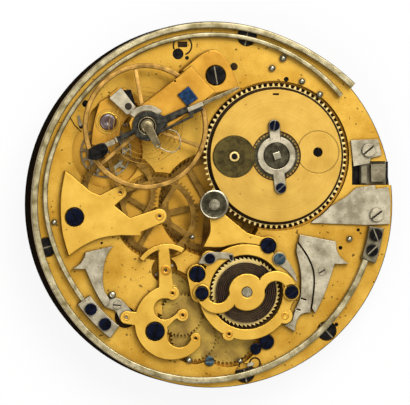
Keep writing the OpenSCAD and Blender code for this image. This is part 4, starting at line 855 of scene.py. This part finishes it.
for node, (at, r, low) in webs.items():
    top = low + webShape["thick"]
    hubTop = top + webShape["hubRise"]
    fittings[node + "_web"] = dict(finish="olive_brass", node=node, at=at, steps=64, profile=(
        (r, low), (r, top), (r - webShape["step"], top), (webShape["boss"], top + webShape["bossRise"]),
        (webShape["hub"], hubTop), (webShape["point"], hubTop)))

# Flat rings: painted shade in the well round the hammer's lug and in the gaps of wheels and ratchets, and the
# escape wheel's rim
rings = {
    "hammer_lug_well": ("dirt_and_shade_darkened_brass", "main_plate", leftHammer, 0.52, 1.34, 5.6, 5.64, 48),
    "barrel_tooth_dirt": ("dirt_and_shade_darkened_brass", "barrel_drum", barrel, 8.1, 8.66, 5.78, 5.81, 120),
    "collar_gap_dirt": ("dirt_and_shade_darkened_brass", "barrel_lid", barrel, 3.0, 3.14, 6.63, 6.66, 120),
    "great_wheel_dirt": ("dirt_and_shade_darkened_brass", "great_wheel", great, 3.9, 4.62, 5.77, 5.8, 120),
    "escape_rim": ("polished_steel", "escape_wheel", escape, 3.02, 3.19, 4.5, 4.645, 96)}
for name, (finish, node, at, inner, outer, low, high, steps) in rings.items():
    fittings[name] = dict(finish=finish, node=node, at=at, steps=steps, ring=True, sharp=10, profile=(
        (inner, low), (outer, low), (outer, high), (inner, high)))
for name, fitting in fittings.items():
    addTurned(name, **fitting)

collarScrews = (((7.69, 9.88), 0.65, 80), ((8.5, 2.06), 0.63, 42))
seat = levels("collar_screws")[1] - screwHead["height"]
bases, tops = zip(*[slottedHead(at, r, seat, turn) for at, r, turn in collarScrews])
addPiece("collar_screw_heads", tops, "blued_steel", "collar_screws", True)
addPiece("collar_screw_slots", bases, "blued_slot_steel", "collar_screws")
print("fittings made")


# Small things of the plate: pins, holes, cut lines and floors

pins = dict(places=(((7.56, 17.06), 0.4), ((8.95, 18.31), 0.42), ((11.35, 15.44), 0.38),
        ((13.62, 13.81), 0.38), ((17.41, -4.31), 0.36), ((-19.9, -2.19), 0.34), ((-2.95, -19.44), 0.36),
        ((3.51, -19.56), 0.32), ((-2.55, -4.06), 0.3)), level=6.4, foot=0.5, shoulder=0.3, rise=0.05)
stopPin = dict(at=(-12.69, -11.25), foot=0.3168, shoulder=0.22, level=6.9, rise=0.06)


def pinTip(at, foot, shoulder, level, rise, steps, sink=0.05, wall=0.02, crown=0.01, point=0.02):
    return turnedSurface(at, ((foot, level - sink), (foot, level + wall), (shoulder, level + rise),
        (point, level + rise + crown)), steps)


tips = [pinTip(at, r * pins["foot"], r * pins["shoulder"], pins["level"], pins["rise"], 20)
    for at, r in pins["places"]]
addPiece("pin_tips", tips + [pinTip(**stopPin, steps=24)], "polished_steel", sharp=30)

# painted shade: black floors in the plate's holes
holes = dict(places=(((9.39, 15.69), 0.3), ((16.28, -5.44), 0.24), ((18.55, -3.19), 0.2),
        ((-13.93, -4.81), 0.15), ((15.77, -15.06), 0.24), ((-4.32, 18.81), 0.68), ((-3.19, 18.31), 0.24),
        ((-15.95, 12.56), 0.43)), low=5.2, high=5.8)
addPiece("hole_floors", [turnedSurface(at, ((r, holes["low"]), (r, holes["high"]), (0.02, holes["high"])), 24)
    for at, r in holes["places"]], "blackened_steel_and_shade")


def reachOf(node):
    low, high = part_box(node)
    return (high[0] - low[0]) / 2 / mm


toothRoom, wheelRoom = 0.06, 0.4
eyeAt, horseshoeAt = (5.4, -19.85), (-3.75, 19.85)
flatWork = {
    # lines cut in the plate: horseshoe at the top, ear at the left, half moon by the cock, lid over the eye
    "plate_lines": dict(finish="dirt_and_shade_darkened_brass", level=(5.98, 6.015, 0.01), shapes=[
        band(horseshoeAt, 1.05, 1.25, -72, 48), band(horseshoeAt, 1.05, 1.25, 150, 205),
        boxAt((-3.75, 20.0), 1.2, 0.7), circle((-16.5, 9.7), 0.28), circle((2.75, 17.25), 0.48),
        band((4.4, -20.1), 0.9, 1.06, 95, 195), bar((-17.85, 10.75), (-17.35, 9.9), 0.07),
        bar((-17.35, 9.9), (-16.5, 9.05), 0.07)]),
    "plate_eye": dict(finish="dirt_and_shade_darkened_brass", level=(5.98, 6.025, 0.01),
        shapes=[circle(eyeAt, 0.76)], cuts=[circle(eyeAt, 0.55)]),
    "plate_springs": dict(finish="stoned_steel", level=(5.98, 6.14, 0.05), shapes=[
        bar((-16.85, 10.95), (-16.62, 9.95), 0.12, 0.22), bar((4.6, -20.1), (5.05, -19.95), 0.2, 0.24)]),
    # plate metal between the fly's sink and the striking bridge
    "plate_patch": dict(finish="tarnished_and_shaded_gilt_plate", level=(5.87, 5.998, 0.01), shapes=[circle(last, 2.98)],
        cuts=[circle(fly, 1.6), boxAt((-1.3, last[1]), 10, 12)]),
    # floor over the end of the stud behind the dial
    "stud_end_cover": dict(finish="tarnished_and_shaded_gilt_plate", level=(2.74, 2.92, 0.05),
        shapes=[circle((-1.24, -4.64), 0.62)]),
    # painted shade: a dark floor of the sink under the barrel's teeth, cut away over the centre wheel and the
    # great wheel
    "barrel_tooth_floor": dict(finish="dirt_and_shade_darkened_brass", level=(4.98, 5.02, 0.01),
        shapes=[circle(barrel, reachOf("barrel_drum") + toothRoom)],
        cuts=[circle(barrel, 8.64), circle(centre, reachOf("centre_wheel") + wheelRoom),
            circle(great, reachOf("great_wheel") + wheelRoom)]),
    "arbor_square": dict(finish="polished_steel", node="barrel_arbor", level=(6.9, 7.56, 0.08),
        shapes=[placed(boxAt(centre, 0.93, 0.93), barrel, 20)]),
    # painted shade: a black floor in the slide's slot
    "slide_slot_floor": dict(finish="blackened_steel_and_shade", level=(4.49, 4.515, 0.01),
        shapes=[boxAt((20.2, 3.95), 4.86, 2.96)])}
for name, plate in flatWork.items():
    addPlate(name, **plate)

# The lever, its pallets short enough to clear the escape wheel at both limits
lever = dict(pallets=((1.6, -0.5), (-1.6, -0.5)), pallet=0.2, hub=0.6, arm=0.4, fork=(0.6, 0.9),
    slot=(0.7, 0.34), short=0.75, armShort=0.4, level=(4.65, 4.95, 0.03), arbor=0.24, arborLow=4.45,
    arborHigh=5.95, pivot=0.16)
reach, turn = math.dist(pallet, balance) - lever["short"], angleOf(pallet, balance)
armLong, forkLong = reach - lever["armShort"], lever["fork"][0]
arm = boxAt((armLong / 2, 0), armLong, lever["arm"])
fork = boxAt((reach - forkLong / 2, 0), *lever["fork"])
shapes = [placed(arm, pallet, turn), placed(fork, pallet, turn), circle(pallet, lever["hub"])]
shapes += [bar(pallet, np.add(pallet, end), lever["pallet"]) for end in lever["pallets"]]
slot = placed(boxAt((reach, 0), *lever["slot"]), pallet, turn)
low, high = levels("pallet_lever")
arbor = turnedSurface(pallet, ((lever["pivot"], low), (lever["pivot"], lever["arborLow"]),
    (lever["arbor"], lever["arborLow"]), (lever["arbor"], lever["arborHigh"]),
    (lever["pivot"], lever["arborHigh"]), (lever["pivot"], high)), 24)
addPiece("pallet_lever_piece", [plateSurface(shapes, [slot], *lever["level"]), arbor], "polished_steel",
    "pallet_lever", True, 30)
print("small details made")


# Camera, light and floor

view = dict(tilt=8.5, distance=600.0, pixelsPerMm=8.0, width=410, aim=(-0.91, 0.25, 6.0), sensor=36)
lamps = {"key": dict(place=(110, 230, 360), size=260, power=1.45),
    "fill": dict(place=(-200, -160, 300), size=300, power=0.48)}
skyLight = dict(top="#FFFFFF", side="#9A9488", low=-0.1, high=0.9, strength=0.54)

camera = bpy.data.objects.new("camera", bpy.data.cameras.new("camera"))
bpy.context.scene.collection.objects.link(camera)
tilt = math.radians(view["tilt"])
back = Vector((-math.sin(tilt), 0, math.cos(tilt)))
right = Vector((math.cos(tilt), 0, math.sin(tilt)))
up = back.cross(right)
camera.location = (Vector(view["aim"]) + back * view["distance"]) * mm
camera.rotation_mode = "QUATERNION"
camera.rotation_quaternion = Matrix((right, up, back)).transposed().to_quaternion()
camera.data.sensor_width = view["sensor"]
camera.data.lens = view["sensor"] * view["distance"] * view["pixelsPerMm"] / view["width"]
camera.data.clip_start = 0.05
camera.data.clip_end = 10
bpy.context.scene.camera = camera

for name, lamp in lamps.items():
    light = bpy.data.objects.new(name, bpy.data.lights.new(name, "AREA"))
    light.data.size = lamp["size"] * mm
    light.data.energy = lamp["power"]
    light.location = Vector(lamp["place"]) * mm
    light.rotation_mode = "QUATERNION"
    light.rotation_quaternion = Vector(lamp["place"]).to_track_quat("Z", "Y")
    bpy.context.scene.collection.objects.link(light)

world = bpy.data.worlds.new("soft studio")
bpy.context.scene.world = world
tree = emptyTree(world)
direction = addNode(tree, "TexCoord").outputs["Generated"]
height = addNode(tree, "SeparateXYZ", {0: direction}).outputs["Z"]
rise = addNode(tree, "MapRange", {
    "Value": height, "From Min": skyLight["low"], "From Max": skyLight["high"]})
sky = addNode(tree, "Mix", {
    0: rise, 6: hexLinear(skyLight["side"]), 7: hexLinear(skyLight["top"])}, data_type="RGBA")
glow = addNode(tree, "Background", {"Color": sky.outputs[2], "Strength": skyLight["strength"]})
addNode(tree, "OutputWorld", {"Surface": glow})

bpy.context.scene.view_settings.view_transform = "Standard"

# White paper floor: white to the eye, with a faint shadow
floorLook = dict(side=1200, grey=0.86, whiteShare=0.88)
corners = np.column_stack((boxAt(centre, floorLook["side"], floorLook["side"]), np.zeros(4))) * mm
floorMesh = bpy.data.meshes.new("floor")
floorMesh.from_pydata(corners.tolist(), [], [(0, 1, 2, 3)])
floor = bpy.data.objects.new("floor", floorMesh)
bpy.context.scene.collection.objects.link(floor)
paper = bpy.data.materials.new("white_paper")
tree = emptyTree(paper)
matte = addNode(tree, "BsdfDiffuse", {"Color": (*[floorLook["grey"]] * 3, 1)})
white = addNode(tree, "Emission", {"Color": (1, 1, 1, 1), "Strength": 1.0})
path = addNode(tree, "LightPath")
seen = path.outputs["Is Camera Ray"]
for ray in ("Is Glossy Ray", "Is Transmission Ray"):
    seen = addNode(tree, "Math", {0: seen, 1: path.outputs[ray]}, operation="MAXIMUM")
share = addNode(tree, "Math", {0: seen, 1: floorLook["whiteShare"]}, operation="MULTIPLY")
mixed = addNode(tree, "MixShader", {0: share, 1: matte, 2: white})
addNode(tree, "OutputMaterial", {"Surface": mixed})
floorMesh.materials.append(paper)
print("camera, light and floor set")
